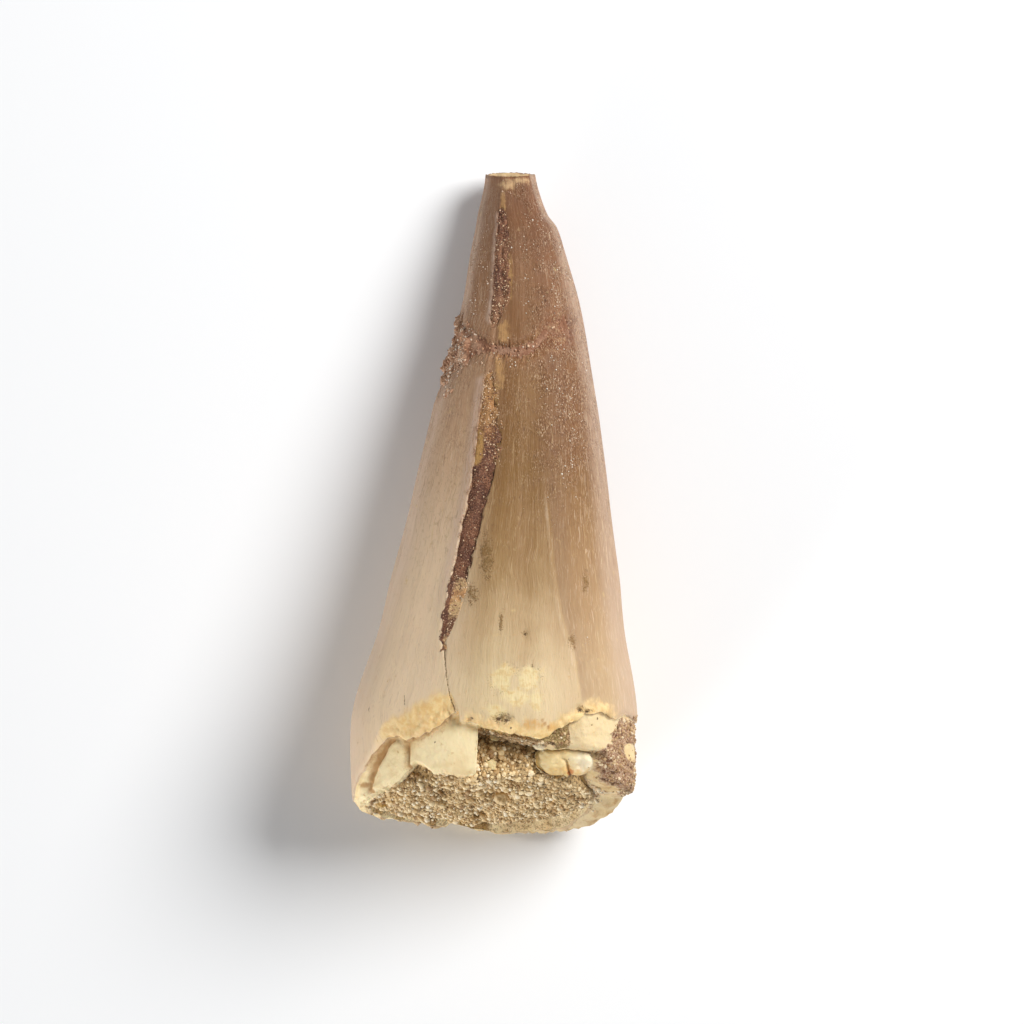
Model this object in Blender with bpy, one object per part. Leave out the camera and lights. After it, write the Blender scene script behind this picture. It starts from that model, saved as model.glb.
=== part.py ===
"""A fossil mosasaur tooth, lying on its side as it lies on a table.

+Y runs from the broken base to the broken tip and +Z is up. The origin lies on the small flat spot that the tooth
rests on, under the middle of its length. The pieces are the crown, the sandy matrix that fills its pulp cavity, the
sediment in the long fissure and in the break across the crown, and a chip of dentine held in the matrix.
"""

import math

import bmesh
import bpy
from mathutils import Vector, noise

MM = 0.001

# All lengths are in millimetres and all angles in degrees.
# The crown from base to tip: length Y, centre X, half width, height of the underside, half depth. The underside is
# a little below zero where the flat spot cuts it off.
STATIONS = (
    (-25.5, 0.00, 10.40, -0.25, 8.90),
    (-16.5, 0.00, 10.80, -0.25, 9.30),
    (-9.0, 0.60, 9.25, -0.28, 8.10),
    (0.0, 1.25, 7.50, -0.28, 6.65),
    (8.0, 1.70, 6.05, 0.10, 5.45),
    (15.0, 2.05, 4.42, 0.65, 4.05),
    (19.0, 1.88, 3.52, 1.00, 3.25),
    (21.0, 1.76, 3.02, 1.20, 2.75),
    (21.9, 1.48, 2.64, 1.30, 2.45),
    (24.0, 1.33, 2.06, 1.50, 1.90),
    (25.5, 1.25, 1.80, 1.60, 1.65),
)
FACETS = 7
FACET_DEPTH = 0.011  # share of the radius
CARINAE = (0, 180)  # the cutting edges along the flanks, by angle
CARINA_HEIGHT = 0.22
CARINA_SPREAD = 9.0  # to either side
CARINA_FADE = (-16.0, -6.0)  # the lengths between which a cutting edge grows to its full height
SWELL = 0.16  # slow bumps of the skin
SWELL_LENGTH = 6.0

# Angles go round the crown in degrees: 0 is the right flank, 90 the top, 180 the left flank, 270 the underside.
# Where the enamel and the outer dentine end at the base: angle, length Y.
OUTER_RIM = (
    (0, -16.2), (26, -15.8), (45, -15.6), (57, -15.9), (62, -16.7), (71, -17.7), (85, -17.5), (96, -16.5),
    (105, -15.5), (113, -16.9), (131, -17.9), (139, -17.6), (148, -19.1), (157, -20.4), (171, -21.9),
    (188, -22.4), (210, -23.5), (246, -24.6), (252, -24.2), (278, -25.0), (312, -24.3), (327, -23.5),
    (339, -22.4), (352, -17.5), (360, -16.2),
)
# Where the inner dentine ends. Between 98 and 131 degrees it stands out as a slab below the broken enamel, and
# on the right flank a strip of it is bare.
INNER_RIM = (
    (0, -21.7), (15, -21.3), (24, -20.8), (30, -19.8), (35, -18.5), (50, -18.3), (62, -17.7), (72, -18.3),
    (95, -17.8), (98, -20.0), (125, -19.6), (139, -20.8), (157, -21.9), (171, -22.6), (210, -23.2),
    (246, -23.9), (278, -24.3), (312, -23.7), (327, -23.0), (345, -22.1), (360, -21.7),
)
# How far the bare dentine lies under the skin: angle, depth. Then the broken wall from the enamel's edge to the
# cavity's: share of the way, share of that depth.
BARE_DEPTH = ((0, 0.25), (30, 0.3), (57, 0.8), (96, 0.9), (131, 0.85), (171, 0.4), (188, 0.3), (360, 0.25))
BROKEN_WALL = ((0.08, 1.0), (0.5, 1.1), (0.9, 1.2), (1.0, 1.6))

# The pulp cavity, and the thickness of the wall around its mouth.
CAVITY_MOUTH = -24.0
CAVITY_APEX = 4.0
CAVITY_ROUNDNESS = 0.6
WALL_LEFT = 0.9
WALL_RIGHT = 2.5
WALL_UPPER = 1.4
WALL_UNDER = 1.4

# The skin to the left of the long fissure has sprung up a little, most of all beside the fissure.
SPRUNG_HEIGHT = 0.22
SPRUNG_REACH = 16.0
SPRUNG_ENDS = (-13.0, 23.0)
SPRUNG_FADE = 3.0

# The broken end of the matrix: angle, length Y.
MATRIX_RIM = (
    (0, -21.9), (20, -21.4), (40, -20.6), (90, -20.3), (120, -20.5), (140, -21.1), (180, -22.2), (230, -23.5),
    (270, -24.0), (300, -23.7), (330, -22.8), (360, -21.9),
)
MATRIX_CENTRE = (-0.4, -22.5, 8.6)
MATRIX_LUMP = 0.9
MATRIX_LUMP_LENGTH = 3.2
MATRIX_BULGE = 0.35  # how far the broken end stands out of its own rim

# The tip is snapped off on a slant: its upper edge lies further back than its lower edge.
TIP_UPPER_Y = 24.2
TIP_LOWER_Y = 25.0
TIP_HOLLOW = 0.3

GAP = 0.2  # between pieces that touch

# The long fissure and the break: length Y, angle, width of the seam at the skin.
FISSURE_TIP = ((21.9, 110, 0.8), (20.2, 112, 1.15), (18.0, 112, 1.25), (15.8, 112, 1.1), (13.9, 114, 0.8))
FISSURE_BODY = (
    (9.4, 111, 0.7), (7.6, 109, 0.9), (5.9, 108, 1.4), (2.5, 107, 1.6), (-0.5, 108, 1.55), (-3.2, 110, 1.4),
    (-5.6, 111.5, 1.25), (-7.8, 114, 1.1), (-10.2, 116, 0.7),
)
BREAK_SEAM = (
    (9.2, 212, 1.6), (9.7, 196, 3.0), (10.4, 180, 4.2), (11.1, 163, 4.6), (11.7, 147, 3.8), (11.8, 128, 2.4),
    (11.7, 108, 1.5), (11.5, 90, 1.2), (12.0, 76, 1.8), (12.8, 62, 3.0), (13.3, 48, 2.7), (13.5, 36, 1.4),
)
SEAM_ABOVE = 0.9  # how far a seam's cutter stands out of the skin
SEAM_TAPER = 0.15  # how much a seam narrows for each millimetre of depth, as a share of its width
SEAM_WAVER = 0.16  # how much its width comes and goes
SEAM_ACROSS = 5
SEAM_STEPS = 3  # from one stop to the next
FISSURE_DEPTH = 1.1
FISSURE_FILL_TOP = -0.3  # below the skin
BREAK_DEPTH = 0.7
BREAK_FILL_TOP = 0.35  # proud of the skin along its middle

# The chip of dentine in the matrix: its middle, its length, width and thickness, and its turn about X, Y and Z.
CHIP_AT = (5.1, -19.7, 14.2)
CHIP_SIZE = (4.4, 2.0, 1.5)
CHIP_TURN = (26.0, 18.0, 3.0)

AROUND = 72
ALONG = 24
CAVITY_RINGS = 6
MATRIX_AROUND = 48
MATRIX_END_RINGS = 8


def smooth_through(knots, at, column=1):
    """The value at a place on a smooth curve through the knots, which are in order of their first number."""
    ordered = sorted(knots)
    places = [knot[0] for knot in ordered]
    values = [knot[column] for knot in ordered]
    last = len(ordered) - 2
    i = next((n for n in range(last + 1) if at <= places[n + 1]), last)
    span = places[i + 1] - places[i]
    slope = (values[i + 1] - values[i]) / span

    def tangent(n):
        if n == 0 or n == len(ordered) - 1:
            return slope
        return (values[n + 1] - values[n - 1]) / (places[n + 1] - places[n - 1])

    t = (at - places[i]) / span
    start, end = tangent(i) * span, tangent(i + 1) * span
    return (
        (2 * t**3 - 3 * t**2 + 1) * values[i]
        + (t**3 - 2 * t**2 + t) * start
        + (3 * t**2 - 2 * t**3) * values[i + 1]
        + (t**3 - t**2) * end
    )


def straight_through(knots, at):
    """The value at an angle on straight lines through the knots."""
    for (a, value_a), (b, value_b) in zip(knots, knots[1:]):
        if a <= at <= b:
            return value_a + (value_b - value_a) * (at - a) / (b - a)
    return knots[-1][1]


def station(y):
    """The crown's centre X, half width, underside and half depth at a length."""
    return tuple(smooth_through(STATIONS, y, column) for column in range(1, 5))


def sprung(y, angle):
    """How far the skin has sprung up beside the long fissure."""
    past = angle - smooth_through(FISSURE_TIP + FISSURE_BODY, y)
    step = min(1.0, max(0.0, (past + 3) / 6))
    fade = min(1.0, max(0.0, min(SPRUNG_ENDS[1] - y, y - SPRUNG_ENDS[0]) / SPRUNG_FADE))
    return SPRUNG_HEIGHT * step * fade * math.exp(-max(0.0, past) / SPRUNG_REACH)


def carina(y, angle):
    """How far a cutting edge stands up at an angle; it fades away towards the base."""
    away = min(abs((angle - at + 180) % 360 - 180) for at in CARINAE)
    fade = min(1.0, max(0.0, (y - CARINA_FADE[0]) / (CARINA_FADE[1] - CARINA_FADE[0])))
    return CARINA_HEIGHT * fade * max(0.0, 1 - away / CARINA_SPREAD)


def skin(y, angle, depth=0.0):
    """The point of the crown's outer skin at a length and an angle, or a depth under it, in millimetres."""
    centre_x, half_width, underside, half_depth = station(y)
    turn = math.radians(angle)
    round_x, round_z = math.cos(turn), math.sin(turn)
    facet = 1 + FACET_DEPTH * math.cos(FACETS * turn)
    bump = SWELL * noise.noise(Vector((round_x * 2, y / SWELL_LENGTH, round_z * 2)))
    out = bump + sprung(y, angle % 360) + carina(y, angle) - depth
    return Vector((
        centre_x + (half_width * facet + out) * round_x,
        y,
        underside + half_depth + (half_depth * facet + out) * round_z,
    ))


def skin_normal(y, angle):
    """The direction that the skin faces at a length and an angle."""
    step_y, step_angle = 1.2, 8.0
    along = skin(y + step_y, angle) - skin(y - step_y, angle)
    around = skin(y, angle + step_angle) - skin(y, angle - step_angle)
    return along.cross(around).normalized()


def cavity(y, angle, gap=0.0):
    """The point of the pulp cavity's wall at a length and an angle, or a gap inside it."""
    share = max(0.0, (CAVITY_APEX - y - 1.5 * gap) / (CAVITY_APEX - CAVITY_MOUTH)) ** CAVITY_ROUNDNESS
    centre_x, _, underside, half_depth = station(y)
    _, mouth_width, _, mouth_depth = station(CAVITY_MOUTH)
    reach_x = (mouth_width - (WALL_LEFT + WALL_RIGHT) / 2) * share - gap
    reach_z = (mouth_depth - (WALL_UPPER + WALL_UNDER) / 2) * share - gap
    turn = math.radians(angle)
    return Vector((
        centre_x + (WALL_LEFT - WALL_RIGHT) / 2 * share + max(reach_x, 0.05) * math.cos(turn),
        y,
        underside + half_depth + (WALL_UNDER - WALL_UPPER) / 2 * share + max(reach_z, 0.05) * math.sin(turn),
    ))


def cavity_ring(rim, angles, narrow, gap=0.0):
    """A ring of the cavity's wall where it has narrowed to a share of its width at the rim (angle, length Y)."""
    apex = CAVITY_APEX - 1.5 * gap
    ring = []
    for angle in angles:
        rim_y = straight_through(rim, angle)
        ring.append(cavity(apex + (rim_y - apex) * narrow ** (1 / CAVITY_ROUNDNESS), angle, gap))
    return ring


def closed_mesh(name, rings, first_point, last_point):
    """A closed mesh of rings of equal length, bridged in order, with a fan of triangles at each end."""
    shape = bmesh.new()
    loops = [[shape.verts.new(point * MM) for point in ring] for ring in rings]
    for loop, next_loop in zip(loops, loops[1:]):
        for n in range(len(loop)):
            m = (n + 1) % len(loop)
            shape.faces.new((loop[n], loop[m], next_loop[m], next_loop[n]))
    for loop, point in ((loops[0], first_point), (loops[-1], last_point)):
        end = shape.verts.new(point * MM)
        for n in range(len(loop)):
            shape.faces.new((loop[n], loop[(n + 1) % len(loop)], end))
    bmesh.ops.recalc_face_normals(shape, faces=shape.faces)
    mesh = bpy.data.meshes.new(name)
    shape.to_mesh(mesh)
    shape.free()
    return mesh


def finish(name, colour, roughness):
    """A matt or glossy finish with no metal in it."""
    material = bpy.data.materials.new(name)
    material.use_nodes = True
    shader = material.node_tree.nodes["Principled BSDF"]
    shader.inputs["Base Color"].default_value = (*colour, 1.0)
    shader.inputs["Roughness"].default_value = roughness
    shader.inputs["Metallic"].default_value = 0.0
    return material


def piece(name, mesh, material, parent):
    """One sub-part of the tooth, carried by the empty that marks the flat spot."""
    made = bpy.data.objects.new(name, mesh)
    made.data.materials.append(material)
    made.data.shade_smooth()
    made.data.set_sharp_from_angle(angle=math.radians(40))
    made.parent = parent
    bpy.context.scene.collection.objects.link(made)
    return made


def cut(target, cutter):
    """Takes the cutter's shape out of the target."""
    cutter.hide_render = True
    cutter.display_type = "WIRE"
    boolean = target.modifiers.new(f"cut by {cutter.name}", "BOOLEAN")
    boolean.operation = "DIFFERENCE"
    boolean.solver = "EXACT"
    boolean.object = cutter


def rest_flat(mesh):
    """Cuts off all that lies below the table, which leaves the small flat spot."""
    shape = bmesh.new()
    shape.from_mesh(mesh)
    everything = list(shape.verts) + list(shape.edges) + list(shape.faces)
    sliced = bmesh.ops.bisect_plane(
        shape, geom=everything, plane_co=(0, 0, 0), plane_no=(0, 0, -1), clear_outer=True
    )
    edges = [item for item in sliced["geom_cut"] if isinstance(item, bmesh.types.BMEdge)]
    bmesh.ops.holes_fill(shape, edges=edges, sides=0)
    bmesh.ops.recalc_face_normals(shape, faces=shape.faces)
    shape.to_mesh(mesh)
    shape.free()


def crown_mesh():
    """The crown as one closed skin: over the outside, across the broken wall in a step, and up the pulp cavity."""
    angles = [360 * n / AROUND for n in range(AROUND)]
    rings = []
    for i in range(ALONG + 1):
        ring = []
        for angle in angles:
            slant = (1 + math.sin(math.radians(angle))) / 2
            tip_y = TIP_LOWER_Y + (TIP_UPPER_Y - TIP_LOWER_Y) * slant
            ring.append(skin(tip_y + (straight_through(OUTER_RIM, angle) - tip_y) * i / ALONG, angle))
        rings.append(ring)
    for share, drop in BROKEN_WALL:
        ring = []
        for angle in angles:
            outer_y = straight_through(OUTER_RIM, angle)
            inner_y = straight_through(INNER_RIM, angle)
            depth = straight_through(BARE_DEPTH, angle) * drop
            ring.append(skin(outer_y + (inner_y - outer_y) * share, angle, depth))
        rings.append(ring)
    for i in range(CAVITY_RINGS + 1):
        rings.append(cavity_ring(INNER_RIM, angles, 1 - i / (CAVITY_RINGS + 1)))
    tip_middle = sum(rings[0], Vector()) / AROUND - Vector((0, TIP_HOLLOW, 0))
    apex = sum(rings[-1], Vector()) / AROUND + Vector((0, 0.2, 0))
    mesh = closed_mesh("tooth_crown", rings, tip_middle, apex)
    rest_flat(mesh)
    return mesh


def matrix_mesh():
    """The sand that set in the pulp cavity: a tapering core with a lumpy broken end."""
    angles = [360 * n / MATRIX_AROUND for n in range(MATRIX_AROUND)]
    rings = []
    for i in range(CAVITY_RINGS + 1):
        rings.append(cavity_ring(MATRIX_RIM, angles, (i + 1) / (CAVITY_RINGS + 1), GAP))
    middle = Vector(MATRIX_CENTRE)
    for i in range(1, MATRIX_END_RINGS):
        share = (i / MATRIX_END_RINGS) ** 0.9
        ring = []
        for point in rings[CAVITY_RINGS]:
            at = point.lerp(middle, share)
            lump = MATRIX_LUMP * noise.noise(at / MATRIX_LUMP_LENGTH) + MATRIX_LUMP / 2 * noise.noise(at / 1.3)
            at.y += lump * min(1.0, 4 * share) - MATRIX_BULGE * math.sin(math.pi * min(1.0, 3 * share) / 2)
            ring.append(at)
        rings.append(ring)
    tip = sum(rings[0], Vector()) / MATRIX_AROUND + Vector((0, 0.2, 0))
    return closed_mesh("matrix_plug", rings, tip, middle - Vector((0, MATRIX_BULGE, 0)))


def seam_mesh(name, stops, floor, edge, swell, inset):
    """A strip along the crown's skin through the stops (length, angle, width), from the floor under the skin to
    its edge's height, swollen along its middle. The inset narrows and shortens it on all sides."""
    spots = []
    last = len(stops) - 1
    for n in range(last * SEAM_STEPS + 1):
        whole, part = divmod(n, SEAM_STEPS)
        here, after = stops[whole], stops[min(whole + 1, last)]
        spots.append([a + (b - a) * part / SEAM_STEPS for a, b in zip(here, after)])
    rings = []
    for n, (y, angle, width) in enumerate(spots):
        y0, angle0, _ = spots[max(n - SEAM_STEPS, 0)]
        y1, angle1, _ = spots[min(n + SEAM_STEPS, len(spots) - 1)]
        radius = smooth_through(STATIONS, y, 2)
        along = Vector((math.radians(angle1 - angle0) * radius, y1 - y0)).normalized()
        if n == 0 or n == len(spots) - 1:
            pull = 1 if n == 0 else -1
            y += along.y * inset * pull
            angle += math.degrees(along.x * inset * pull / radius)
        half = width / 2 - inset
        half *= 1 + SEAM_WAVER * noise.noise(Vector((n * 0.45, floor, 0)))
        top, bottom = [], []
        for m in range(SEAM_ACROSS):
            side = 2 * m / (SEAM_ACROSS - 1) - 1
            top_height = edge + swell * (1 - side**2) * (1 + noise.noise(Vector((n * 0.5, m, 7))))
            for points, height in ((top, top_height), (bottom, inset - floor)):
                off = side * half * (1 + SEAM_TAPER * height)
                at_y = y - along.x * off
                at_angle = angle + math.degrees(along.y * off / radius)
                points.append(skin(at_y, at_angle) + skin_normal(at_y, at_angle) * height)
        rings.append(top + bottom[::-1])
    first = sum(rings[0], Vector()) / len(rings[0])
    final = sum(rings[-1], Vector()) / len(rings[-1])
    return closed_mesh(name, rings, first, final)


def chip_mesh(name, grow):
    """A rounded, uneven chip, grown on all sides to make the pocket that it sits in."""
    shape = bmesh.new()
    bmesh.ops.create_icosphere(shape, subdivisions=2, radius=1.0)
    for vert in shape.verts:
        boxy = max(abs(side) for side in vert.co) ** 0.45
        size = (1 + 0.10 * noise.noise(vert.co * 1.7)) / boxy
        sides = []
        for side, across in zip(vert.co, CHIP_SIZE):
            sides.append(side * size * across / 2 + math.copysign(grow, side) * abs(side) ** 0.2)
        vert.co = Vector(sides) * MM
    mesh = bpy.data.meshes.new(name)
    shape.to_mesh(mesh)
    shape.free()
    return mesh


def main():
    for old in list(bpy.data.objects):
        bpy.data.objects.remove(old)

    enamel = finish("enamel and dentine", (0.50, 0.34, 0.19), 0.35)
    sand = finish("sandy matrix", (0.45, 0.33, 0.20), 0.9)
    rusty_sediment = finish("rusty sediment", (0.16, 0.075, 0.04), 0.8)
    grey_sediment = finish("grainy sediment", (0.38, 0.22, 0.13), 0.85)
    dentine = finish("dentine", (0.82, 0.66, 0.38), 0.4)

    flat_spot = bpy.data.objects.new("flat_spot", None)
    bpy.context.scene.collection.objects.link(flat_spot)

    crown = piece("tooth_crown", crown_mesh(), enamel, flat_spot)
    matrix = piece("matrix_plug", matrix_mesh(), sand, flat_spot)

    for name, stops in (("fissure_sediment_tip", FISSURE_TIP), ("fissure_sediment_body", FISSURE_BODY)):
        groove = seam_mesh(f"{name} groove", stops, FISSURE_DEPTH, SEAM_ABOVE, 0.0, 0.0)
        cut(crown, piece(f"{name}_groove", groove, enamel, flat_spot))
        fill = seam_mesh(name, stops, FISSURE_DEPTH, FISSURE_FILL_TOP, 0.1, GAP)
        piece(name, fill, rusty_sediment, flat_spot)

    groove = seam_mesh("break groove", BREAK_SEAM, BREAK_DEPTH, SEAM_ABOVE, 0.0, 0.0)
    cut(crown, piece("break_sediment_groove", groove, enamel, flat_spot))
    fill = seam_mesh("break_sediment", BREAK_SEAM, BREAK_DEPTH, 0.0, BREAK_FILL_TOP, GAP)
    piece("break_sediment", fill, grey_sediment, flat_spot)

    for name, grow, material in (("dentine_chip_pocket", GAP, sand), ("dentine_chip", 0.0, dentine)):
        chip = piece(name, chip_mesh(name, grow), material, flat_spot)
        chip.location = Vector(CHIP_AT) * MM
        chip.rotation_euler = [math.radians(turn) for turn in CHIP_TURN]
        if grow:
            cut(matrix, chip)


main()
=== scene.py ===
"""The looks of a fossil mosasaur tooth that lies on its side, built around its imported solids."""

import math

import bpy
import numpy as np
from mathutils import Euler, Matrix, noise
from mathutils.bvhtree import BVHTree


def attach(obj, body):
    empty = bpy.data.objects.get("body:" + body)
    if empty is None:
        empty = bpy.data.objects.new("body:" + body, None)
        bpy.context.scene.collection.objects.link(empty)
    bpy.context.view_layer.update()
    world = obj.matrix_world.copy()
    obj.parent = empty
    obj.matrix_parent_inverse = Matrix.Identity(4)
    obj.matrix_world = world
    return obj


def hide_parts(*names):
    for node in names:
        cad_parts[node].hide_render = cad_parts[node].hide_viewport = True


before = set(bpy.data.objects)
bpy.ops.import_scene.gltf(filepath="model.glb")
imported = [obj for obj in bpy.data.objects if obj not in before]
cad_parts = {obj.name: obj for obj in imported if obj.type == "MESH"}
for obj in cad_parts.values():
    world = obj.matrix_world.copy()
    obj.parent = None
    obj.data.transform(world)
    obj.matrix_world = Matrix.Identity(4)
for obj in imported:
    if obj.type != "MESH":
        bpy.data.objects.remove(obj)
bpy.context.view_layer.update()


# The crown is one grown piece: a cone of dentine under a skin of enamel, with faint grooves along it, a
# cutting edge on each flank and a long fissure on top. It was broken off at the tip and the base long after
# it was shed, and the bare dentine shows at the base as pale slabs.
MM = 0.001

# Length Y, centre X, half width, underside and half depth, in millimetres.
CROWN_STATIONS = (
    (-25.5, 0.00, 10.62, -0.25, 8.90), (-16.5, -0.03, 10.74, -0.25, 9.30), (-9.0, 0.53, 9.08, -0.28, 8.10),
    (0.0, 1.18, 7.33, -0.28, 6.65), (8.0, 1.63, 5.88, 0.10, 5.45), (15.0, 1.99, 4.27, 0.65, 4.05),
    (19.0, 1.83, 3.38, 1.00, 3.25), (21.0, 1.72, 2.88, 1.20, 2.75), (21.9, 1.45, 2.48, 1.30, 2.45),
    (24.0, 1.30, 1.84, 1.50, 1.90), (25.5, 1.24, 1.58, 1.60, 1.65),
)
# Angles go round the crown in degrees: 0 is the right flank, 90 the top, 180 the left flank, 270 the
# underside. Where the enamel ends at the base: angle, length Y. Then where the bare dentine ends.
ENAMEL_EDGE = (
    (-14, -17.4), (-6, -16.4), (8, -16.3), (20, -15.7), (30, -16.1), (40, -15.6), (50, -15.7), (54, -16.2),
    (62, -16.6), (66, -17.2), (71, -17.55), (79, -17.15), (87, -16.9), (93, -16.65), (98, -16.2),
    (103.4, -16.25), (104.2, -15.45), (107.4, -15.6), (112, -16.3), (118, -17.0), (124, -17.4),
    (129, -17.6), (135, -17.35), (139, -17.4), (144, -18.2), (149, -19.2), (155, -20.1), (163, -21.2),
    (172, -22.3), (188, -22.6), (210, -23.5), (240, -24.05), (248, -24.4), (252.5, -24.0), (262, -24.35),
    (278, -24.9), (290, -24.75), (297, -24.6), (308, -24.5), (316, -24.15), (327, -23.45), (339, -22.4),
    (346, -17.0),
)
DENTINE_END = (
    (-14, -22.0), (0, -21.7), (15, -21.3), (24, -20.8), (30, -19.8), (35, -18.6), (45, -18.35), (54, -18.2),
    (60, -18.3), (66, -17.6), (72, -17.9), (80, -17.5), (88, -17.25), (96.4, -17.0), (97.0, -20.1),
    (104, -20.25), (112, -19.95), (117, -20.1), (121, -19.5), (126, -19.3), (131, -19.9), (139, -20.9),
    (150, -21.4), (157, -21.9), (171, -22.5), (188, -22.9), (210, -23.7), (240, -24.2), (327, -23.3),
    (346, -22.0),
)
# How far the bare dentine lies below the enamel's surface: angle, depth.
BARE_DEPTH = (
    (-14, 0.25), (0, 0.25), (30, 0.3), (50, 0.38), (56, 0.85), (66, 0.9), (96, 0.9), (131, 0.8), (150, 0.6),
    (171, 0.4), (188, 0.3), (346, 0.25),
)
# The fissure and the crack that runs on from it to the base: length Y, angle, width.
FISSURE = (
    (22.3, 110.0, 0.0), (21.9, 110.0, 0.4), (20.2, 111.5, 0.75), (18.0, 112.0, 0.8), (15.8, 112.0, 0.9),
    (13.9, 114.0, 0.6), (13.3, 114.0, 0.0), (9.9, 111.0, 0.0), (9.4, 111.0, 0.5), (7.6, 109.0, 0.8),
    (5.9, 108.0, 1.3), (2.5, 107.5, 1.55), (-0.5, 109.8, 1.4), (-3.2, 112.2, 1.25), (-5.6, 114.0, 1.05),
    (-7.8, 115.2, 0.8), (-10.2, 116.4, 0.24), (-11.0, 115.0, 0.07), (-13.0, 111.3, 0.04),
    (-14.7, 107.7, 0.06), (-16.2, 103.9, 0.08),
)
# The break across the crown: angle, length Y, width.
BREAK = (
    (36, 13.5, 1.0), (48, 13.3, 2.6), (62, 12.8, 2.6), (76, 11.9, 1.7), (90, 11.4, 1.4), (108, 11.6, 1.1),
    (128, 11.9, 2.2), (147, 11.6, 4.4), (163, 11.2, 6.0), (180, 11.0, 6.6), (196, 10.4, 5.0),
    (212, 9.6, 1.8),
)
# The low ridge along the right side of the top: length Y, angle.
RIDGE = ((2.4, 70.0), (1.8, 69.4), (-1.2, 67.0), (-5.8, 63.9), (-8.8, 60.4), (-11.0, 55.6), (-14.0, 53.6))
# Pits and dents seen from above: X, Y, reach, depth.
PITS = (
    (2.38, -9.69, 0.22, 0.16), (2.90, -12.03, 0.10, 0.15), (6.35, -15.30, 0.22, 0.25),
    (6.80, -15.50, 0.20, 0.22), (0.50, -15.90, 0.30, 0.20), (1.10, -15.95, 0.26, 0.22),
    (0.30, -16.45, 0.20, 0.15), (-1.85, -16.0, 0.16, 0.2), (6.00, -10.20, 0.14, 0.10),
    (0.57, -8.94, 0.12, 0.06), (1.60, -14.60, 0.12, 0.10), (5.50, -17.60, 0.25, 0.3),
    (-8.20, -14.30, 0.12, 0.08), (4.10, 0.70, 0.18, 0.08), (3.30, -13.0, 0.10, 0.08),
    (0.20, -13.2, 0.08, 0.06),
)
# The pulp cavity: where it ends towards the tip, how far it reaches from there and how bluntly it ends;
# then how far its mouth lies to the left of the crown's centre, and its half width and half depth there.
CAVITY_APEX = 4.0
CAVITY_LENGTH = 28.0
CAVITY_ROUNDNESS = 0.6
CAVITY_SHIFT = 0.8
CAVITY_HALF_WIDTH = 8.78
CAVITY_HALF_DEPTH = 7.57
# Where the tip is snapped off on its underside, and how much lower its upper edge lies.
TIP_Y = 25.25
TIP_SLANT = 0.45
# How far the skin has sprung up beside the fissure, and over how many degrees. The same of the cutting edges.
SPRUNG_HEIGHT, SPRUNG_REACH = 0.17, 16.0
EDGE_HEIGHT, EDGE_REACH = 0.22, 9.0


def smooth_through(knots, at, column=1):
    """The values at places on a smooth curve through knots, held at its two ends."""
    rows = np.array(sorted(knots), float)
    places, values = rows[:, 0], rows[:, column]
    tangents = np.gradient(values, places)
    tangents[1:-1] = (values[2:] - values[:-2]) / (places[2:] - places[:-2])
    held = np.clip(at, places[0], places[-1])
    i = np.clip(np.searchsorted(places, held) - 1, 0, len(places) - 2)
    span = places[i + 1] - places[i]
    t = (held - places[i]) / span
    return (
        (2 * t**3 - 3 * t**2 + 1) * values[i]
        + (t**3 - 2 * t**2 + t) * span * tangents[i]
        + (3 * t**2 - 2 * t**3) * values[i + 1]
        + (t**3 - t**2) * span * tangents[i + 1]
    )


def straight_through(knots, at, column=1):
    """The values at places on straight lines through knots."""
    rows = np.array(sorted(knots), float)
    return np.interp(at, rows[:, 0], rows[:, column])


def step(value, start=0.0, end=1.0):
    """0 before the start, 1 after the end, and smooth between them."""
    t = np.clip((value - start) / (end - start), 0, 1)
    return t * t * (3 - 2 * t)


def within(value, start, full, fading, end):
    """1 within a stretch and 0 outside it, with a soft start and end."""
    return step(value, start, full) * (1 - step(value, fading, end))


def hump(value, reach):
    """1 at zero and falling away to both sides."""
    return np.exp(-((value / reach) ** 2))


def lumps(x, y, z, seed=0.0):
    """Even bumps, between about -1 and 1 and one unit across, at each place."""
    x, y, z = np.broadcast_arrays(x, y, z)
    places = zip((x + seed).ravel().tolist(), (y + seed).ravel().tolist(), (z - seed).ravel().tolist())
    return np.array([noise.noise(place) for place in places]).reshape(x.shape)


def notches(turn, count, seed):
    """Bumps round the crown, about as many as the count."""
    return lumps(count * np.cos(turn), count * np.sin(turn), 0.0, seed)


def streaks(angle, y, across, along, seed=0.0):
    """Bumps drawn out along the crown, of a width and a length in millimetres at the base."""
    turn = np.radians(angle)
    return lumps(10 * np.cos(turn) / across, y / along, 10 * np.sin(turn) / across, seed)


def station(y):
    """The crown's centre X, half width, underside and half depth at lengths."""
    return [smooth_through(CROWN_STATIONS, y, column) for column in (1, 2, 3, 4)]


def seam_angle(y):
    return smooth_through(FISSURE, y)


def sprung(y, angle):
    """How far the skin has sprung up beside the long fissure."""
    past = angle - seam_angle(y)
    fade = step(np.minimum(23.0 - y, y + 10.5), 0.0, 4.0)
    return SPRUNG_HEIGHT * step(past, -3.0, 3.0) * fade * np.exp(-np.maximum(past, 0) / SPRUNG_REACH)


def cutting_edge(y, angle):
    """How far the cutting edges stand up on the flanks; they fade away towards the base."""
    away = np.minimum(np.abs((angle + 180) % 360 - 180), np.abs(angle % 360 - 180))
    return EDGE_HEIGHT * np.clip((y + 16.0) / 10.0, 0, 1) * np.maximum(0, 1 - away / EDGE_REACH)


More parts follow.
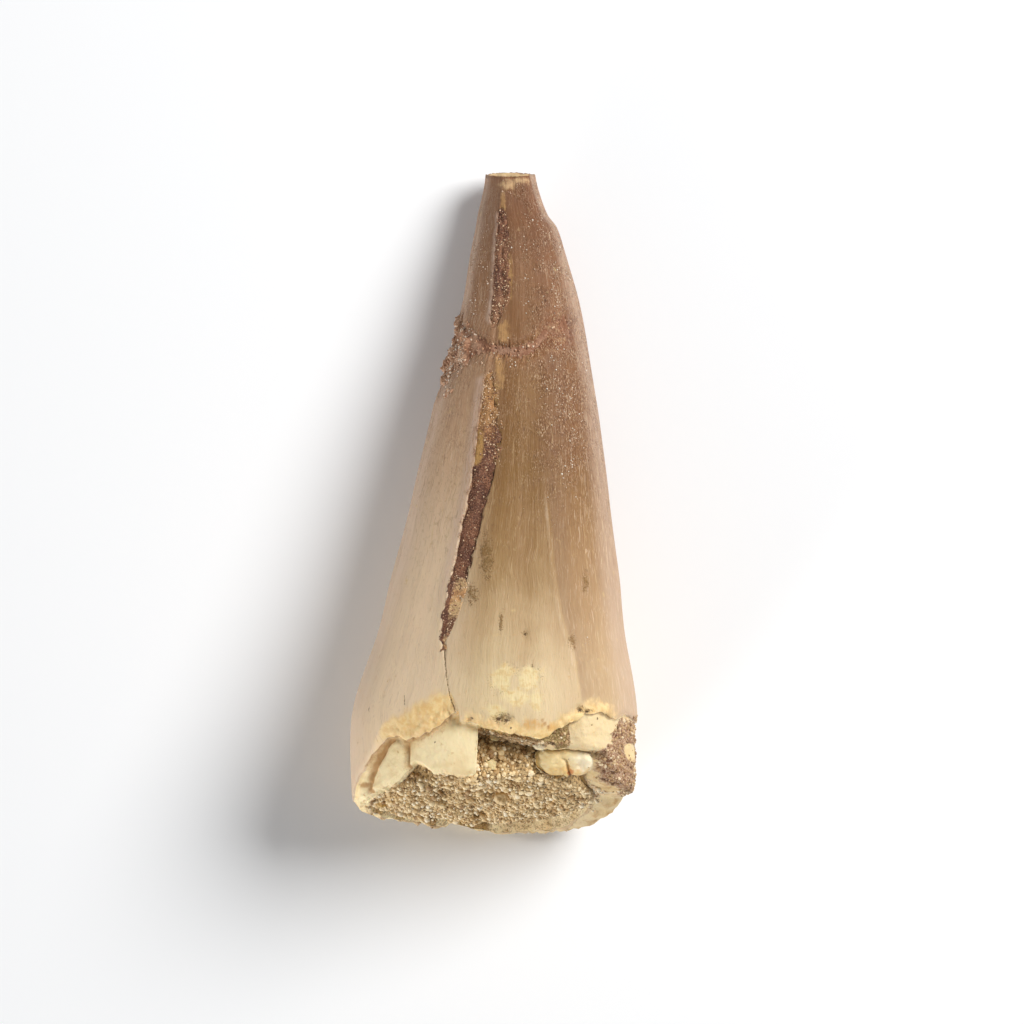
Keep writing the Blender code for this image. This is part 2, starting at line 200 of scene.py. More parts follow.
def crown_point(y, angle, out=0.0):
    """Points of the crown's skin at lengths and angles, or some way out of it, in millimetres."""
    turn = np.radians(angle)
    round_x, round_z = np.cos(turn), np.sin(turn)
    centre_x, half_width, underside, half_depth = station(y)
    facet = 1 + 0.011 * np.cos(7 * turn)
    swell = 0.16 * lumps(round_x * 2, y / 6.0, round_z * 2)
    out = out + swell + sprung(y, angle % 360) + cutting_edge(y, angle)
    return np.stack([
        centre_x + (half_width * facet + out) * round_x,
        y + 0 * angle,
        underside + half_depth + (half_depth * facet + out) * round_z,
    ], axis=-1)


def pulp_wall(y, angle, gap=0.0):
    """Points of the pulp cavity's wall at lengths and angles, or a gap inside it."""
    share = np.maximum(0.001, (CAVITY_APEX - y) / CAVITY_LENGTH) ** CAVITY_ROUNDNESS
    centre_x, _, underside, half_depth = station(y)
    turn = np.radians(angle)
    return np.stack([
        centre_x - CAVITY_SHIFT * share + np.maximum(CAVITY_HALF_WIDTH * share - gap, 0.05) * np.cos(turn),
        y + 0 * angle,
        underside + half_depth + np.maximum(CAVITY_HALF_DEPTH * share - gap, 0.05) * np.sin(turn),
    ], axis=-1)


def places(*stretches):
    """Places one after another through stretches of (start, end, spacing)."""
    return np.concatenate([
        np.linspace(start, end, round(abs(end - start) / spacing), endpoint=False)
        for start, end, spacing in stretches
    ])


def closed_mesh(name, rings, first_point, last_point):
    """A closed mesh of rings of points in millimetres, with a fan at each end, its faces turned outwards."""
    count, size = rings.shape[:2]
    points = np.concatenate([rings.reshape(-1, 3), [first_point, last_point]]) * MM
    n = np.arange(size)
    m = (n + 1) % size
    at = (np.arange(count - 1) * size)[:, None]
    quads = np.stack([at + n, at + m, at + size + m, at + size + n], axis=-1).reshape(-1, 4)
    last = (count - 1) * size
    first_fan = np.stack([m, n, np.full(size, count * size)], axis=-1)
    last_fan = np.stack([last + n, last + m, np.full(size, count * size + 1)], axis=-1)
    a, b, c, d = (points[quads[:, k]] for k in range(4))
    volume = np.einsum("ij,ij->i", a, np.cross(b, c) + np.cross(c, d)).sum()
    faces = quads.tolist() + first_fan.tolist() + last_fan.tolist()
    if volume < 0:
        faces = [face[::-1] for face in faces]
    mesh = bpy.data.meshes.new(name)
    mesh.from_pydata(points.tolist(), [], faces)
    mesh.shade_smooth()
    return mesh


def put(mesh, name, values, at_ends=None):
    """Stores a value, or a direction of three, at each point of a mesh made of rings, in place of any before.

    The two points that close its ends get the mean of the ring beside them, or a value of their own.
    """
    values = np.asarray(values, np.float32)
    kind, field = ("FLOAT_VECTOR", "vector") if values.ndim == 3 else ("FLOAT", "value")
    ends = np.stack([values[0].mean(axis=0), values[-1].mean(axis=0)])
    if at_ends is not None:
        ends = np.full_like(ends, at_ends)
    kept = mesh.attributes.get(name) or mesh.attributes.new(name, kind, "POINT")
    kept.data.foreach_set(field, np.append(values.ravel(), ends.ravel()))


def piece(name, mesh, finish, slot, *nodes):
    """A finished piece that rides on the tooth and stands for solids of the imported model."""
    made = bpy.data.objects.new(name, mesh)
    bpy.context.scene.collection.objects.link(made)
    mesh.materials.clear()
    mesh.materials.append(finish.material)
    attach(made, "root")
    if nodes:
        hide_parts(*nodes)
    return made


def spots(x, y, marks):
    """The share of each mark, X, Y, reach across and along, that covers places seen from above."""
    covered = np.zeros(np.shape(x))
    for at_x, at_y, across, along in marks:
        away = np.hypot((x - at_x) / across, (y - at_y) / along)
        covered = np.maximum(covered, np.clip(1.5 - away, 0, 1))
    return covered


def shade(red, green, blue):
    """A finish's colour from its look on a screen, 0 to 255, under the lamps.

    The lamps give a surface that faces up 1.2 times the light of a white card.
    """
    screen = np.array([red, green, blue]) / 255
    return tuple((((screen + 0.055) / 1.055) ** 2.4 / 1.2).tolist())


class Value:
    """A socket of a finish that Python's own operators can reckon with."""

    def __init__(self, finish, socket):
        self.finish = finish
        self.socket = socket

    def reckon(self, operation, *others):
        return self.finish.node("ShaderNodeMath", {"operation": operation}, dict(enumerate(others)))

    def __add__(self, other):
        return self.reckon("ADD", self, other)

    def __radd__(self, other):
        return self.reckon("ADD", other, self)

    def __sub__(self, other):
        return self.reckon("SUBTRACT", self, other)

    def __rsub__(self, other):
        return self.reckon("SUBTRACT", other, self)

    def __mul__(self, other):
        return self.reckon("MULTIPLY", self, other)

    def __rmul__(self, other):
        return self.reckon("MULTIPLY", other, self)

    def __truediv__(self, other):
        return self.reckon("DIVIDE", self, other)

    def __pow__(self, other):
        return self.reckon("POWER", self, other)

    def most(self, other):
        return self.reckon("MAXIMUM", self, other)

    def step(self, start, end):
        """0 before the start, 1 after the end, and smooth between them."""
        inputs = {"Value": self, "From Min": start, "From Max": end}
        return self.finish.node("ShaderNodeMapRange", {"interpolation_type": "SMOOTHSTEP"}, inputs)

    def torn(self, start, end, *noises):
        """This share with a soft edge that is broken up by noises, each given with its strength."""
        share = self
        for bumps, strength in noises:
            share = share + (bumps - 0.5) * strength
        return share.step(start, end)

    def coated(self, colour, share):
        """This colour under a coat of another."""
        return self.finish.mixed(self, colour, share)


class Nodes:
    """A tree of nodes that is built up in order."""

    def __init__(self, tree):
        self.tree = tree

    def node(self, kind, settings=None, inputs=None, output=0):
        """Adds a node: its settings first, then the values or links of its sockets. Gives one output."""
        made = self.tree.nodes.new(kind)
        for name, value in (settings or {}).items():
            if name == "stops":
                ramp = made.color_ramp.elements
                while len(ramp) < len(value):
                    ramp.new(1.0)
                for stop, (at, colour) in zip(ramp, value):
                    stop.position = at
                    stop.color = (*shade(*colour), 1.0)
            else:
                setattr(made, name, value)
        for name, value in (inputs or {}).items():
            self.feed(self.find(made.inputs, name), value)
        return Value(self, self.find(made.outputs, output)) if len(made.outputs) else None

    def vector(self, operation, first, second):
        """Reckons with a vector and another one, or with a number that scales it."""
        inputs = {0: first, "Scale" if operation == "SCALE" else 1: second}
        return self.node("ShaderNodeVectorMath", {"operation": operation}, inputs)

    def part(self, vector, axis):
        return self.node("ShaderNodeSeparateXYZ", {}, {0: vector}, axis)

    def find(self, sockets, name):
        if isinstance(name, int):
            return sockets[name]
        wanted = (socket for socket in sockets if name in (socket.identifier, socket.name))
        return next(socket for socket in wanted if socket.enabled)

    def feed(self, socket, value):
        if isinstance(value, Value):
            self.tree.links.new(value.socket, socket)
        else:
            socket.default_value = value


class Finish(Nodes):
    """A material that is built up from nodes."""

    def __init__(self, name, **constants):
        self.material = bpy.data.materials.new(name)
        self.material.use_nodes = True
        super().__init__(self.material.node_tree)
        self.surface = self.tree.nodes["Principled BSDF"]
        for socket, value in constants.items():
            self.surface.inputs[socket.replace("_", " ")].default_value = value

    def noise(self, places, size, detail=2.0, roughness=0.5):
        """Noise of a feature size, or sizes along the three axes, at places in millimetres."""
        sizes = size if isinstance(size, tuple) else (size, size, size)
        scaled = self.vector("DIVIDE", places, sizes)
        inputs = {"Vector": scaled, "Scale": 1.0, "Detail": detail, "Roughness": roughness}
        return self.node("ShaderNodeTexNoise", {}, inputs)

    def place(self):
        """Where a point of the piece is, in millimetres."""
        return self.vector("SCALE", self.node("ShaderNodeTexCoord", output="Object"), 1 / MM)

    def stored(self, name, output="Fac"):
        return self.node("ShaderNodeAttribute", {"attribute_name": name}, {}, output)

    def mixed(self, base, other, share):
        """One colour over another by a share. A plain colour is given as it looks on a screen."""
        inputs = {"Factor_Float": share}
        for socket, colour in (("A_Color", base), ("B_Color", other)):
            inputs[socket] = (*shade(*colour), 1.0) if isinstance(colour, tuple) else colour
        return self.node("ShaderNodeMix", {"data_type": "RGBA", "clamp_factor": True}, inputs, "Result_Color")

    def relief(self, height, distance, strength=1.0):
        """Fine relief of a height in millimetres that is too small for the mesh."""
        inputs = {"Height": height, "Distance": distance * MM, "Strength": strength}
        self.feed(self.surface.inputs["Normal"], self.node("ShaderNodeBump", {}, inputs, "Normal"))

    def set(self, name, value):
        self.feed(self.surface.inputs[name], value)


# Rows run from the tip to the base, closest together at the break and at the enamel's edge. Columns run
# round the crown, closest together on top, and bend with the fissure so that its edges stay sharp.
columns = places(
    (-10, 15, 0.9), (15, 94, 0.56), (94, 122, 0.3), (122, 165, 0.56), (165, 190, 0.9), (190, 350, 2.4)
)
FIRST_ROW, LAST_ROW = 24.5, -16.2
FISSURE_COLUMN = 110
lengths = places((FIRST_ROW, 14, 0.28), (14, 8, 0.15), (8, -11.5, 0.36), (-11.5, LAST_ROW, 0.15))
lengths = np.append(lengths, LAST_ROW)
down = ((FIRST_ROW - lengths) / (FIRST_ROW - LAST_ROW))[:, None]
bend = 1 - step(np.abs(columns - FISSURE_COLUMN), 9, 42)
skin_angle = columns + bend * (seam_angle(lengths)[:, None] - FISSURE_COLUMN)
skin_turn = np.radians(skin_angle)
edge_angle = skin_angle[-1]
edge_turn = np.radians(edge_angle)
tip_slant = (1 + np.sin(skin_turn)) / 2
tip_y = TIP_Y - TIP_SLANT * tip_slant + 0.06 * streaks(skin_angle, 0.0, 1.2, 1.0, 6.0)
skin_notches = 0.16 * (notches(skin_turn, 14, 3.1) + 0.6 * notches(skin_turn, 40, 7.7))
skin_y = tip_y + (straight_through(ENAMEL_EDGE, skin_angle) + skin_notches - tip_y) * down

# Relief of the skin, in millimetres out of it. First the fissure, with a worn lip along its left edge.
FISSURE_DEPTH = 1.0
LIP_HEIGHT = 0.05
BREAK_DEPTH = 0.34
ENAMEL_THICKNESS = 0.10
centre_x, half_width = station(skin_y)[:2]
across = np.radians(skin_angle - seam_angle(skin_y)) * half_width
opening = straight_through(FISSURE, skin_y, 2) / 2
ragged = lumps(0.0, skin_y * 1.7, across * 0.3, 5.0)
left_edge = opening * (1 + 0.3 * lumps(0.0, skin_y * 1.1, 0.0, 9.0))
left_edge = left_edge + 0.07 * lumps(0.0, skin_y * 4.2, 0.0, 12.0)
right_edge = opening * (1 + 0.7 * ragged) + 0.12 * lumps(0.0, skin_y * 3.4, across * 1.2, 11.0)
soft = 0.1
inside = step(left_edge - across, -soft, soft) * step(across + right_edge, -soft, soft)
inside *= step(opening, 0.0, 0.05)
skin_relief = -np.minimum(FISSURE_DEPTH, 0.15 + opening * 2.2) * inside
fissured = step(2 * opening, 0.1, 0.5)
lip_reach = np.interp(skin_y, [0.0, 8.0, 12.0, 20.0], [0.42, 0.40, 0.24, 0.16])
lip = hump(across - left_edge - 1.1 * lip_reach, lip_reach) * fissured
skin_relief += LIP_HEIGHT * lip - 0.03 * hump(across + right_edge + 0.5, 0.6) * fissured
# The trough of the break.
break_y = smooth_through(BREAK, skin_angle % 360)
break_width = smooth_through(BREAK, skin_angle % 360, 2)
in_reach = within(skin_angle, 33, 40, 206, 214)
break_off = (skin_y - break_y) + 0.3 * lumps(skin_angle / 6, skin_y, 0.0, 2.0)
break_off += 0.16 * lumps(skin_angle / 2, skin_y * 2.6, 0.0, 2.6)
broken = in_reach * (1 - step(np.abs(break_off), 0.1 * break_width, 0.5 * break_width + 0.3))
skin_relief -= BREAK_DEPTH * broken
# The low ridge with the furrow beside it, and the fine streaks along the whole crown.
ridge_off = np.radians(skin_angle - smooth_through(RIDGE, skin_y)) * half_width
ridged = within(-skin_y, -2.6, 0.5, 14.0, 15.6)
right_of_ridge = step(-ridge_off, 0, 0.3) * np.exp(-np.abs(ridge_off) / 1.5)
skin_relief += ridged * (0.02 * hump(ridge_off, 0.2) - 0.05 * right_of_ridge)
for height, width, length, seed in ((0.035, 1.7, 16, 1.0), (0.014, 0.55, 8, 2.0), (0.008, 0.24, 5, 3.0)):
    skin_relief += height * streaks(skin_angle, skin_y, width, length, seed)
# The enamel's lower edge: worn back on the left, ragged on top and of the enamel's own thickness elsewhere.
above_edge = skin_y - skin_y[-1]
left_bevel = within(skin_angle, 103, 109, 138, 148)
bevel_reach = np.interp(skin_angle, [103, 112, 122, 132, 144], [1.2, 2.0, 2.9, 2.4, 1.0])
worn = lumps(skin_angle / 3, skin_y * 1.8, 0.0, 3.0) + 0.5 * lumps(skin_angle, skin_y * 4.5, 0.0, 5.0)
skin_relief -= left_bevel * (0.42 - 0.16 * worn) * (1 - step(above_edge, 0.1, 0.8 * bevel_reach))
top_edge = within(skin_angle, 50, 56, 100, 104)
skin_relief -= top_edge * (0.12 + 0.12 * worn) * (1 - step(above_edge, 0.1, 1.1 + 0.6 * worn))
skin_relief -= ENAMEL_THICKNESS * (1 - step(above_edge, 0.0, 0.3))
# The swelling with a hollow in it at the right end of the break, and the pits.
seen_x = centre_x + half_width * np.cos(skin_turn)
on_top = step(np.sin(skin_turn), 0.0, 0.15)
swelling = on_top * hump(np.hypot((seen_x - 4.9) / 1.5, (skin_y - 12.9) / 1.9), 1.0)
hollow = on_top * hump(np.hypot((seen_x - 5.75) / 0.42, (skin_y - 13.1) / 1.1), 1.0)
skin_relief += swelling * (0.16 + 0.16 * lumps(seen_x * 1.3, skin_y * 1.3, 0.0, 8.0)) - 0.3 * hollow
for pit_x, pit_y, reach, depth in PITS:
    skin_relief -= depth * on_top * hump(np.hypot(seen_x - pit_x, skin_y - pit_y), reach)
skin_rings = crown_point(skin_y, skin_angle, skin_relief)

# The bare dentine below the enamel's broken edge: its pale slabs, the cracks and creases between them, and
# the layers that show on the underside.
shares = np.concatenate([[0.004, 0.012, 0.03], np.linspace(0.06, 1.0, 30)])[:, None]
edge_y = skin_y[-1]
looser = within(edge_angle, 60, 66, 93, 97)
chipped = (0.12 + 0.14 * looser) * notches(edge_turn, 9, 4.4)
chipped += (0.07 + 0.1 * looser) * notches(edge_turn, 45, 5.5)
end_y = np.minimum(straight_through(DENTINE_END, edge_angle) + chipped, edge_y - 0.25)
ledge_y = edge_y + (end_y - edge_y) * shares
ledge_angle = edge_angle + 0 * shares
ledge_turn = edge_turn + 0 * shares
ledge_centre_x, ledge_half_width = station(ledge_y)[:2]
ledge_x = ledge_centre_x + ledge_half_width * np.cos(ledge_turn)
bare_depth = straight_through(BARE_DEPTH, ledge_angle)
below_edge = edge_y - ledge_y
# The recess under the enamel's broken edge is a little deeper, and the finish paints a brown shadow in it.
recess = within(ledge_angle, 103, 108, 146, 160) * np.exp(-below_edge / 0.55)
first_drop = -skin_relief[-1]
drop = first_drop + (bare_depth - first_drop) * step(shares, 0.0, 0.04) + 0.12 * recess
groove_x = np.interp(ledge_y, [-21.0, -20.2, -19.1, -18.2, -17.3], [-9.7, -9.5, -9.1, -8.7, -7.9])
side_groove = hump(ledge_x - groove_x, 0.24) * step(ledge_turn, 2.2, 2.4) * step(shares, 0.02, 0.1)
slab_crack = hump(ledge_x + 6.95, 0.08) * step(-ledge_y, 17.8, 18.3) * (ledge_turn < 3.0)
# The wide crease beside the slab is a shallow dip, and the finish paints soft brown shade in it.
slab_crease = hump(ledge_x + 7.15, 0.34) * step(-ledge_y, 17.5, 18.2) * (1 - step(-ledge_y, 19.7, 20.3))
slab_crease *= ledge_turn < 3.0
drop += 0.28 * side_groove + 0.14 * slab_crack + 0.16 * slab_crease
slab = within(ledge_angle, 96.5, 97.5, 128, 131)
rough = lumps(ledge_x * 1.6, ledge_y * 1.6, ledge_turn, 6.0)
rough += 0.5 * lumps(ledge_x * 4, ledge_y * 4, ledge_turn, 8.0)
drop += (0.10 - 0.05 * slab) * rough
drop += bare_depth * 0.35 * step(shares, 0.9, 1.0)
under = (ledge_angle > 200) * step(shares, 0.0, 0.2)
layers = lumps(ledge_angle / 5, ledge_y * 7, 0.0, 1.5)
drop += under * 0.14 * layers
ledge_rings = crown_point(ledge_y, ledge_angle, -drop)

# The broken end of the wall, and the pulp cavity.
rim_gap = 0.32 * notches(edge_turn, 5, 1.7) + 0.16 * notches(edge_turn, 16, 2.9)
rim_rings = pulp_wall(end_y, edge_angle, 0.1 + rim_gap)[None]
across_wall = np.array([0.12, 0.28, 0.44, 0.6, 0.76, 0.9])[:, None, None]
wall_rings = ledge_rings[-1] + (rim_rings - ledge_rings[-1]) * across_wall
bulge = 0.18 * np.sin(np.pi * across_wall[..., 0])
wall_lumps = lumps(wall_rings[..., 0] * 1.5, across_wall[..., 0] * 3, wall_rings[..., 2] * 1.5, 2.2)
wall_lumps += 0.6 * lumps(wall_rings[..., 0] * 4, across_wall[..., 0] * 8, wall_rings[..., 2] * 4, 3.3)
wall_rings[..., 1] -= bulge * (0.6 + 1.4 * wall_lumps)
narrow = np.linspace(1.0, 0.12, 6)[:, None] ** (1 / CAVITY_ROUNDNESS)
cavity_rings = pulp_wall(CAVITY_APEX + (end_y - CAVITY_APEX) * narrow, edge_angle + 0 * narrow)

# The snapped tip, rough and a little hollow.
tip_centre = skin_rings[0].mean(axis=0)
tip_share = np.append(np.linspace(0.04, 0.92, 14), [0.96, 0.985])[:, None, None]
tip_rings = tip_centre + (skin_rings[0] - tip_centre) * tip_share
tip_jags = skin_rings[0, :, 1] - TIP_Y + TIP_SLANT * tip_slant[0]
tip_rings[..., 1] -= tip_jags * (tip_share[..., 0] - tip_share[..., 0] ** 30)
tip_rough = lumps(tip_rings[..., 0] * 1.1, 0.0, tip_rings[..., 2] * 1.1, 4.0)
tip_rough += 0.5 * lumps(tip_rings[..., 0] * 2.6, 0.0, tip_rings[..., 2] * 2.6, 4.0)
tip_rings[..., 1] += 0.2 * tip_rough * (1 - tip_share[..., 0] ** 6) - 0.16 * (1 - tip_share[..., 0] ** 2)

crown_rings = np.concatenate([tip_rings, skin_rings, ledge_rings, wall_rings, cavity_rings])
crown_rings[..., 2] = np.maximum(crown_rings[..., 2], 0.0)
crown_mesh = closed_mesh(
    "crown", crown_rings, tip_centre - (0, 0.18, 0), cavity_rings[-1].mean(axis=0) + (0, 0.3, 0)
)

# What the finish reads: where the skin is pulled straight, and shares of bare dentine, stains, painted shade
# and so on.
counts = [len(rings) for rings in (tip_rings, skin_rings, ledge_rings, wall_rings, cavity_rings)]


def whole(tip=0.0, skin=0.0, ledge=0.0, wall=0.0, cavity=0.0):
    """A value for every point of the crown from the values of its regions."""
    regions = zip((tip, skin, ledge, wall, cavity), counts)
    return np.concatenate([np.broadcast_to(value, (count, len(columns))) for value, count in regions])


def crusted(x, y, turn):
    """The share of brown sand that clings to the right flank below the enamel."""
    at_y = (-21.6, -21.0, -20.6, -19.4, -18.8, -17.8, -16.9, -15.9)
    from_x = np.interp(y, at_y, (9.2, 8.5, 7.3, 7.5, 8.1, 8.6, 9.2, 9.7))
    from_x = from_x + 0.7 * lumps(x * 0.6, y * 1.1, 0.0, 3.0) + 0.4 * lumps(x * 2, y * 3.0, 0.0, 5.0)
    low = step(y, -22.6, -21.8) * (1 - step(y + 0.5 * lumps(x * 1.4, y * 0.8, 0.0, 9.0), -16.3, -15.5))
    off_clean = np.hypot((turn - 0.2) / 0.2, (y + 18.6) / 0.8) + 0.55 * lumps(x, y * 1.7, turn * 7, 2.0)
    clean = 1 - step(off_clean, 0.6, 1.2)
    return step(x - from_x, -0.3, 0.5) * step(np.sin(turn), -0.35, -0.1) * low * (1 - 0.9 * clean)


all_turn = whole(skin_turn[0], skin_turn, edge_turn, edge_turn, edge_turn)
all_x, all_y = crown_rings[..., 0], crown_rings[..., 1]
seen_from_above = step(np.sin(all_turn), 0.0, 0.12)
put(crown_mesh, "straight", np.stack([10 * np.cos(all_turn), 10 * np.sin(all_turn), all_y], axis=-1))
put(crown_mesh, "bare", whole(1 - step(tip_share[..., 0], 0.9, 0.97), 0.0, step(shares, 0.0, 0.03), 1.0, 1.0))
# Where the lip beside the fissure gets its painted pale sheen.
put(crown_mesh, "lip", whole(skin=lip * step(skin_y, -8.5, -5)))
beside_break = 0.5 * in_reach * hump(np.maximum(np.abs(break_off) - 0.5 * break_width, 0), 0.9)
put(crown_mesh, "healed", whole(skin=np.maximum(np.maximum(broken, swelling), beside_break)))
put(crown_mesh, "hollow", whole(skin=hollow))
beyond = np.maximum(across - left_edge, -across - right_edge)
beside = 0.62 * hump(np.maximum(beyond, 0), 0.32) * fissured
put(crown_mesh, "fissure", whole(skin=np.maximum(inside * fissured, beside)))
ledge_crust = crusted(ledge_x, ledge_y, ledge_turn) * step(shares, 0.0, 0.05)
green_sand = within(ledge_angle, 54, 57, 67, 70) * step(shares, 0.02, 0.1)
wall_crust = crusted(wall_rings[..., 0], wall_rings[..., 1], edge_turn + 0 * across_wall[..., 0])
skin_crust = crusted(seen_x, skin_y, skin_turn)
drifted = step(across_wall[..., 0] + 0.3 * wall_lumps, 0.55, 0.95)
behind_recess = within(edge_angle, 60, 66, 94, 97)
wall_sand = np.maximum(np.maximum(wall_crust, drifted), behind_recess)
recess_sand = within(ledge_angle, 64, 68, 94, 96.5) * step(shares + 0.3 * rough, 0.1, 0.4)
ledge_sand = np.maximum(np.maximum(ledge_crust, green_sand), recess_sand)
put(crown_mesh, "crust", whole(0.0, skin_crust, ledge_sand, wall_sand))
underneath = step(-np.sin(edge_turn), 0.2, 0.6)
put(crown_mesh, "grains", whole(0.0, skin_crust * 0.8, ledge_sand, wall_sand * (1 - 0.9 * underneath)))
# The broken wall is painted paler: partly its own cream colour, partly painted light on its lower rim, which
# lies in shade.
paler_wall = 0.7 * (1 - wall_crust) * (1 - 0.8 * behind_recess)
put(crown_mesh, "paler", whole(ledge=0.1 * recess_sand, wall=paler_wall))
put(crown_mesh, "green", whole(ledge=np.maximum(green_sand, 0.5 * recess_sand), wall=0.6 * behind_recess))
# Marks as they are seen from above, here and further on: X, Y, reach across and along.
YELLOW = (
    (0.7, -12.9, 0.9, 1.1), (2.6, -13.0, 0.9, 1.0), (1.7, -14.5, 1.3, 0.8), (0.2, -15.3, 0.9, 0.6),
    (3.2, -14.6, 0.5, 1.1),
)
put(crown_mesh, "yellow", seen_from_above * spots(all_x, all_y, YELLOW) * whole(1, 1))
GOLDEN = (
    (0.72, 22.8, 0.22, 1.0), (1.28, 17.0, 0.2, 1.6), (0.79, 12.93, 0.45, 0.8), (0.52, 9.9, 0.36, 1.4),
    (0.15, 8.2, 0.35, 0.9), (2.9, -16.4, 0.8, 0.4), (4.4, -16.6, 0.4, 0.3), (1.0, 24.2, 0.6, 0.45),
    (2.1, 24.5, 0.7, 0.25),
)
put(crown_mesh, "gold", seen_from_above * spots(all_x, all_y, GOLDEN))
chalky = left_bevel * (1 - step(above_edge, 0.5 * bevel_reach, bevel_reach + 0.2))
rim_reach = within(skin_angle, 22, 34, 100, 104)
chalky = np.maximum(chalky, 0.75 * rim_reach * (1 - step(above_edge, 0.3, 1.7 + 0.6 * worn)))
put(crown_mesh, "ochre", whole(skin=chalky))
STAINED = (
    (0.11, 7.9, 0.4, 0.9), (-0.5, -4.0, 0.5, 1.7), (-1.6, -6.8, 0.5, 0.8), (5.9, -10.3, 0.3, 0.6),
    (6.9, -5.9, 0.25, 0.8), (2.38, -9.7, 0.25, 0.25), (0.57, -8.9, 0.15, 0.8), (2.9, -12.0, 0.12, 0.12),
    (6.5, -15.25, 0.3, 0.25), (7.1, -15.4, 0.35, 0.14), (0.8, -15.95, 0.7, 0.4), (-1.85, -16.1, 0.18, 0.18),
)
stained = seen_from_above * spots(all_x, all_y, STAINED)
crack = hump(across + 0.09 * lumps(0.0, skin_y * 2.2, 0.0, 3.0), 0.06)
crack *= (1 - fissured) * step(-skin_y, 9.5, 11.0)
# Stains, and a painted shadow in the recess under the enamel's edge.
stained = np.maximum(stained, whole(
    0.7 * step(-tip_rough, 0.1, 0.6), 1.1 * crack, 0.3 * recess, 0.25 * step(wall_lumps, 0.0, 0.5), 0.6,
))
put(crown_mesh, "stained", stained)
RUSTED = (
    (3.65, -16.1, 0.14, 0.16), (3.85, -16.35, 0.14, 0.16), (4.1, -16.6, 0.14, 0.16),
    (-9.6, -21.1, 0.5, 0.25), (7.25, -21.9, 0.25, 0.25),
)
# Amber-brown stains in the groove, cracks, layers and broken wall, and painted shade in the recess and in the
# crease beside the slab.
rust_and_shade_ledge = 0.8 * recess + side_groove + 0.9 * slab_crack + 0.5 * slab_crease
rust_and_shade_ledge += under * (0.35 + 0.8 * layers)
rust_and_shade = whole(ledge=np.clip(rust_and_shade_ledge, 0, 1), wall=np.clip(0.35 + 0.7 * wall_lumps, 0, 1))
put(crown_mesh, "amber", np.maximum(0.9 * seen_from_above * spots(all_x, all_y, RUSTED), rust_and_shade))
HOLES = (
    (-4.34, -17.76, 0.08, 0.08), (2.96, -12.05, 0.08, 0.08), (2.38, -9.69, 0.13, 0.11),
    (7.77, -16.05, 0.08, 0.1), (7.35, -16.5, 0.07, 0.07), (1.32, -16.7, 0.12, 0.1),
    (-1.58, -15.94, 0.13, 0.12), (4.34, -17.9, 0.3, 0.22), (6.45, -15.4, 0.28, 0.14),
    (6.9, -15.55, 0.3, 0.1), (-6.6, -14.75, 0.04, 0.7), (-9.3, -15.4, 0.04, 0.25), (0.4, -16.0, 0.22, 0.14),
    (1.0, -16.1, 0.22, 0.14),
)
put(crown_mesh, "holes", seen_from_above * spots(all_x, all_y, HOLES) * whole(0.0, 1.0, 1.0))
# The ridge's share: its crest is painted as a highlight, and the furrow past it as shade.
past_ridge = step(-ridge_off, 0.1, 0.5) * np.exp(-np.abs(ridge_off) / 3.0)
put(crown_mesh, "ridge", whole(skin=ridged * (hump(ridge_off, 0.16) - 0.8 * past_ridge)))

crown_finish = Finish(
    "fossil enamel and dentine",
    Subsurface_Weight=0.12, Subsurface_Radius=(1.0, 0.45, 0.2), Subsurface_Scale=0.0012,
    Specular_IOR_Level=0.2,
)
stored = crown_finish.stored
pulled = stored("straight", "Vector")
along = crown_finish.part(pulled, "Z")
side = crown_finish.part(pulled, "X")
here = crown_finish.place()
waves = crown_finish.node("ShaderNodeTexNoise", {}, {"Vector": here, "Scale": 0.35, "Detail": 2.0}, "Color")
waved = crown_finish.vector("SUBTRACT", waves, (0.5, 0.5, 0.5))
pulled = crown_finish.vector("ADD", pulled, waved)
bands = crown_finish.noise(pulled, (1.9, 1.9, 14.0), 3.0)
fine_streaks = crown_finish.noise(pulled, (0.4, 0.4, 5.0), 4.0, 0.65)
hair_streaks = crown_finish.noise(pulled, (0.11, 0.11, 2.4), 2.0, 0.6)
long_lines = crown_finish.noise(pulled, (0.17, 0.17, 9.0), 1.0)
clouds = crown_finish.noise(here, 3.2, 3.0)
mottle = crown_finish.noise(here, 0.45, 4.0, 0.6)
pepper = crown_finish.noise(here, 0.12, 2.0, 0.6)
flecks = crown_finish.noise(pulled, (0.11, 0.11, 0.17), 1.0)
clumps = crown_finish.noise(here, 1.2, 2.0)

# The enamel's colour on a way from the base, 0, to the tip, 1.
BASE_TO_TIP = (
    (0.00, (238, 211, 164)), (0.08, (228, 202, 158)), (0.17, (202, 170, 126)),
    (0.26, (177, 142, 95)), (0.35, (159, 121, 74)), (0.45, (146, 107, 62)),
    (0.54, (142, 101, 60)), (0.81, (148, 105, 70)), (0.93, (128, 86, 57)),
    (1.00, (142, 98, 68)),
)
COLOUR_START, COLOUR_LENGTH = -16.5, 41.0
place_along = (along - COLOUR_START) / COLOUR_LENGTH + (bands - 0.5) * 0.12 + (clouds - 0.5) * 0.14
enamel = crown_finish.node("ShaderNodeValToRGB", {"stops": BASE_TO_TIP}, {"Fac": place_along}, "Color")
# Painted light: the left flank, which faces away from the main lamp, is painted lighter, most of all towards
# the base.
left_side = (side * -1.0).step(0.5, 6.0) * (0.5 + 0.5 * along.step(20.0, 6.0))
left_painted_light = crown_finish.mixed((190, 148, 116), (222, 182, 146), along.step(16.0, 5.0))
left_painted_light = left_painted_light.coated((266, 236, 200), along.step(8.0, -6.0))
enamel = enamel.coated(left_painted_light, left_side * 0.7)
